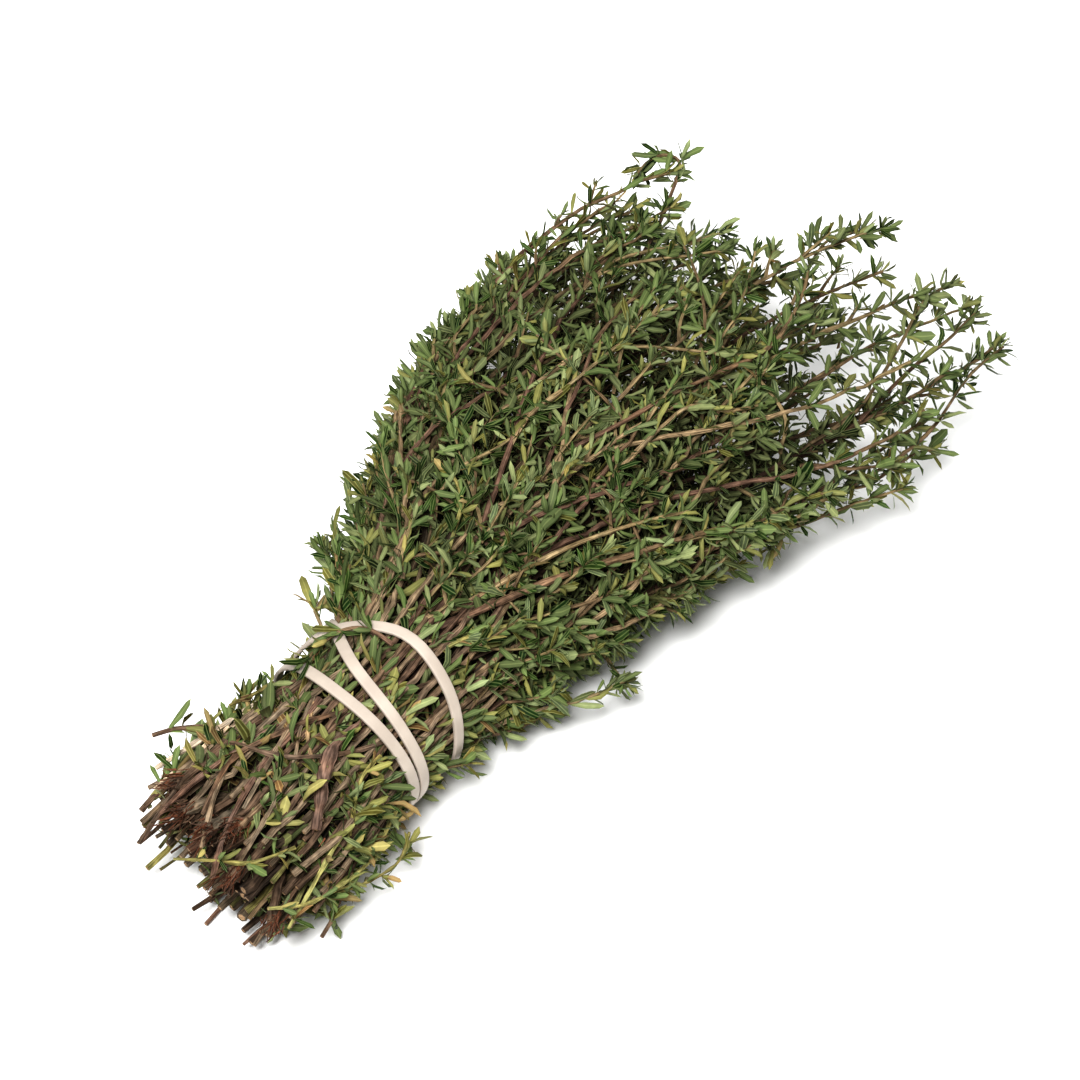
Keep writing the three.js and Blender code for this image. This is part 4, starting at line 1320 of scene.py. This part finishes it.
# Twigs that show at the cut end: radius there and at the inner end, colour, number of leaf clusters, points.
SHOWN_TWIGS = [
    (0.62, 0.5, DARK_BARK, 0,
     [(-92, 21, 28), (-94, 9, 38), (-92, -0.5, 40), (-86, -7.5, 39.5), (-78, -12, 37), (-70, -14, 34)]),
    (0.4, 0.5, YELLOW_STEM, 5, [(-92, -20.5, 27), (-88, -18.5, 31), (-82, -16, 34.5), (-75, -15.5, 34.5)]),
    (0.35, 0.5, YELLOW_STEM, 5,
     [(-118, -19, 27), (-107, -22.5, 20), (-90, -23, 15), (-81, -21.5, 17), (-74, -20, 20)]),
    (0.35, 0.32, YOUNG_STEM, 6, [(-104, -21, 16), (-94, -24.5, 13), (-84, -27, 12.5), (-76, -24, 13)]),
    (0.32, 0.45, YELLOW_STEM, 4, [(-124, 3, 33), (-119, -5, 34), (-114, -11, 33), (-104, -15, 31)]),
    (0.5, 0.6, RED_STEM, 1, [(-124, 13, 30.5), (-115, 14, 32), (-101, 11, 36), (-85, 6, 39)]),
    (0.55, 0.7, SPLIT_WOOD, 0, [(-105, 26, 26), (-91, 21, 29), (-80, 17, 32)]),
    (0.4, 0.6, SPLIT_WOOD, 0, [(-108, 24, 23), (-96, 21, 27), (-84, 18, 30)]),
    (0.5, 0.62, GREY_BARK, 2, [(-106, -2, 36.5), (-92, 1, 39.5), (-76, 5, 40)]),
    (0.55, 0.7, DARK_BARK, 1, [(-112, 5, 35), (-98, 8, 38), (-84, 2, 40), (-75, -3, 40)]),
    (0.4, 0.5, TAN_STEM, 2, [(-96, -16, 33), (-90, -10, 37), (-84, -2, 39.5), (-76, 3, 40)]),
    (0.35, 0.5, YOUNG_STEM, 4, [(-84, 22, 31), (-80, 19, 33), (-74, 17, 33)]),
    (0.5, 0.65, GREY_BARK, 1,
     [(-118, 0, 33), (-111.4, 3.6, 35.2), (-100.7, 8.3, 36.4), (-90.8, 8.7, 37.9), (-77.2, 7.4, 39)]),
    (0.45, 0.6, DARK_BARK, 0,
     [(-125, 12.7, 31.3), (-114.3, 14.6, 32), (-103.3, 16, 32.6), (-92, 13.5, 34.8), (-78, 10, 37)]),
    (0.55, 0.7, RED_STEM, 0,
     [(-122.4, -6.9, 32.6), (-111.1, -1.8, 35.5), (-96.6, 1.3, 38.3), (-85.6, 1.3, 39.7),
      (-74.6, 2.4, 40.2)]),
    (0.42, 0.55, GREY_BARK, 1,
     [(-115.6, -9, 33.1), (-105.4, -7.3, 35.5), (-92.3, -4.4, 38.6), (-83.8, 0.5, 40), (-75, 4, 40)]),
    (0.4, 0.55, YELLOW_STEM, 5,
     [(-115.3, -21.9, 18.4), (-107.6, -21.4, 22.6), (-96.1, -19.9, 27.4), (-84, -18.5, 30), (-74, -17, 31)]),
]
KNOTTED_STUB = [
    (-98.6, -16.4, 33), (-92.7, -13.1, 36.2), (-87.2, -9.9, 38.9), (-80.8, -8.1, 40), (-73, -8.5, 39),
]
KNOTTED_STUB_RADII = (1.15, 0.8)
KNOTS = [(0.45, 0.5, 0.05), (0.62, 0.7, 0.07)]  # where along the stub, how much thicker, how long
FRAYED_ENDS = [
    (-108, 16.5, 31), (-115, 2, 34), (-119, -9, 31.5), (-110, -3, 35), (-118, -19.5, 22), (-113, 10, 32),
]
FRAYED_RADII = (1.15, 1.0)
FRAYED_LENGTH = 34
FIBRE_SECTIONS = 4
FIBRE = {"aim": 0.27, "curl": 0.2, "length": (0.4, 1.0), "thick": (0.12, 0.3), "thinner_at_end": 0.6}
FIBRE_ROOTS = {"x": (1.0, 1.6), "y": (0, 1.1), "z": (0, 0.9)}  # middle and spread round the cut end
THIN_TWIGS = 84
THIN_TWIG_GROUPS = 6
THIN_TWIG = {"out": (0.15, 1.12), "start_x": (-119, -104), "end_x": (-50, -10), "radius": (0.35, 0.85)}
THIN_TWIG_END_RADIUS = 0.35
TWIG_LEAF = {"length": 6.2, "draw": (0.8, 1.2), "swing": (-1.1, 1.1), "lean": 0.9}
TWIG_BUD = {"length": 4.96, "lean": 0.8, "leaves": (2, 3, 4)}


def add_twig(sprig, path, radius, to_radius, colour, knots=()):
    """A bare twig along a path, with the small rings and knots of old wood."""
    rng = sprig.rng
    radii = knobbly(tapered(radius, to_radius, TWIG_SECTIONS), rng, 0.16)
    for at, more, length in knots:
        swellings = [1 + more * math.exp(-(((t - at) / length) ** 2)) for t in shares(TWIG_SECTIONS)]
        radii = [r * swelling for r, swelling in zip(radii, swellings)]
    tint = toned(colour, rng)
    sprig.add_stem(TWIG_SHAPE, path, radii, [toned(tint, rng, 0.1) for _ in path], rng.uniform(0, FULL_TURN))


def add_twig_leaves(sprig, path, count):
    """A few leaf clusters, some of them old, along a bare twig."""
    rng = sprig.rng
    axis = Axis(path)
    for k in range(count):
        point, direction = axis.at(axis.length * (k + rng.uniform(0.2, 0.8)) / count)
        turn = outward_turn(point, direction) + rng.uniform(*TWIG_LEAF["swing"])
        length = TWIG_LEAF["length"] * rng.uniform(*TWIG_LEAF["draw"])
        add_pair(sprig, point, direction, turn, TWIG_LEAF["lean"], length, OVAL_FORMS)
        leaves = rng.choice(TWIG_BUD["leaves"])
        add_bud(sprig, point, direction, turn, TWIG_BUD["lean"], TWIG_BUD["length"], leaves)


def add_frayed_end(sprig, place, fibres, length):
    """Torn bark at a cut end: stiff red-brown fibres that spread from it."""
    rng = sprig.rng
    away = Vector((-1, place.y / 60, (place.z - 20) / 80))  # a little outward from the bunch
    steps = shares(FIBRE_SECTIONS)
    for _ in range(fibres):
        root = place + Vector([rng.gauss(*FIBRE_ROOTS[axis]) for axis in "xyz"])
        heading = (away + jitter(rng, FIBRE["aim"])).normalized()
        curl = jitter(rng, FIBRE["curl"])
        reach = length * rng.uniform(*FIBRE["length"])
        path = [root + (heading * t + curl * t * t) * reach for t in steps]
        if min(p.z for p in path) > 0.5:
            thick = rng.uniform(*FIBRE["thick"])
            radii = [thick * (1 - FIBRE["thinner_at_end"] * t) for t in steps]
            tint = toned(rng.choice(FIBRE_COLOURS), rng, 0.5)
            sprig.add_stem(FIBRE_SHAPE, path, radii, [tint] * FIBRE_SECTIONS)


def make_shown_twigs():
    for _, twig, sprig in pieces("shown_twig", SHOWN_TWIGS, BARK_SLOTS[:1], looks=[CUT_END_LOOK]):
        radius, to_radius, colour, clusters, points = twig
        path = through(points, TWIG_SECTIONS)
        add_twig(sprig, path, radius, to_radius, colour)
        add_twig_leaves(sprig, path, clusters)


def make_knotted_stub():
    """The thick twig by the band, with two knots and a torn end."""
    stub = Sprig("knotted_stub", draws_for("knotted_stub", 0))
    path = through(KNOTTED_STUB, TWIG_SECTIONS)
    add_twig(stub, path, *KNOTTED_STUB_RADII, RED_STEM, KNOTS)
    add_frayed_end(stub, path[0], fibres=10, length=2.5)
    finish_piece(stub, "bark_dark_brown")


def make_frayed_stems():
    """Short thick stems whose cut ends are torn."""
    for k, end, sprig in pieces("frayed_stem", FRAYED_ENDS, BARK_SLOTS[1:]):
        end = Vector(end)
        inner = in_section(end.x + FRAYED_LENGTH, 0, 0)
        arched = end.lerp(inner, 0.25) + Vector((0, 0, 1.5))
        path = through([end, arched, end.lerp(inner, 0.75)], TWIG_SECTIONS)
        add_twig(sprig, path, *FRAYED_RADII, in_turn((DARK_BARK, GREY_BARK), k))
        add_frayed_end(sprig, end, fibres=60, length=sprig.rng.uniform(4.0, 6.5))


def add_thin_twig(sprig, k):
    rng = sprig.rng
    r = math.sqrt(mix(*THIN_TWIG["out"], (k + 0.5) / THIN_TWIGS))
    turn = k * GOLDEN_ANGLE + 2.1
    end_turn = turn + rng.gauss(0, 0.5)
    start_x, end_x = rng.uniform(*THIN_TWIG["start_x"]), rng.uniform(*THIN_TWIG["end_x"])
    path = []
    for t in shares(TWIG_SECTIONS):
        x = mix(start_x, end_x, t)
        out = mix(r, min(1.12, max(r, 0.9)), eased(t, 0, 0.625))
        path.append(round_section(x, out, mix(turn, end_turn, t)) + sway_at(300 + k, x))
    if min(p.z for p in path) < LOWEST_SHOOT:
        return
    path = kinked(path, rng)
    add_twig(sprig, path, rng.uniform(*THIN_TWIG["radius"]), THIN_TWIG_END_RADIUS, rng.choice(TWIG_COLOURS))
    if r > 0.6:
        add_twig_leaves(sprig, path[: TWIG_SECTIONS // 2], rng.choice((1, 2, 3)))


def make_thin_twigs():
    """Thin stems that end among the cut ends, some with leaves, each group one piece."""
    for g, _, sprig in pieces("thin_twigs", range(THIN_TWIG_GROUPS), BARK_SLOTS, looks=[CUT_END_LOOK]):
        for k in range(g, THIN_TWIGS, THIN_TWIG_GROUPS):
            sprig.rng = draws_for("thin_twigs", k)
            add_thin_twig(sprig, k)


# ---------------- the band

BAND_ROUNDING = {"width": 0.28 * MM, "segments": 2, "over": math.radians(50)}


def make_band():
    """The rubber band: the frame's own band with its edges rounded."""
    band = add_selected("pale_rubber_band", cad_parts["rubber_band"].data.copy())
    bpy.ops.object.mode_set(mode="EDIT")
    bpy.ops.mesh.select_all(action="SELECT")
    bpy.ops.mesh.remove_doubles(threshold=0.01 * MM)
    bpy.ops.mesh.tris_convert_to_quads()
    bpy.ops.object.mode_set(mode="OBJECT")
    rounded = band.modifiers.new("rounded_edges", "BEVEL")
    rounded.width = BAND_ROUNDING["width"]
    rounded.segments = BAND_ROUNDING["segments"]
    rounded.limit_method = "ANGLE"
    rounded.angle_limit = BAND_ROUNDING["over"]
    bpy.ops.object.modifier_apply(modifier=rounded.name)
    finer = band.modifiers.new("smooth_turns", "SUBSURF")
    finer.levels = 1
    finer.render_levels = 1
    bpy.ops.object.modifier_apply(modifier=finer.name)
    bpy.ops.object.shade_smooth()
    band.data.materials.clear()
    band.data.materials.append(make_rubber_material())
    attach(band, "root")
    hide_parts("rubber_band")


# ---------------- the whole bunch

add_camera()
add_studio()
LEAF_MATERIAL = make_leaf_material()
BARK_MATERIAL = make_bark_material()
LEAF_SHAPES = {name: model_leaf(form) for name, form in LEAF_FORMS.items()}
STEM_SHAPE = model_stem(6, STEM_SECTIONS)
SHOOT_SHAPE = model_stem(5, SHOOT_SECTIONS)
TWIG_SHAPE = model_stem(6, TWIG_SECTIONS)
FIBRE_SHAPE = model_stem(3, FIBRE_SECTIONS)

leafy_stems, bare_stems = lay_out_stems()
make_leafy_sprigs(leafy_stems)
make_bare_stems(bare_stems)
make_extra_sprigs()
make_crossing_sprigs()
make_outer_sprigs()
make_overlying_stems()
make_lying_shoots()
make_dead_leaf()
make_shown_twigs()
make_knotted_stub()
make_frayed_stems()
make_thin_twigs()
make_band()
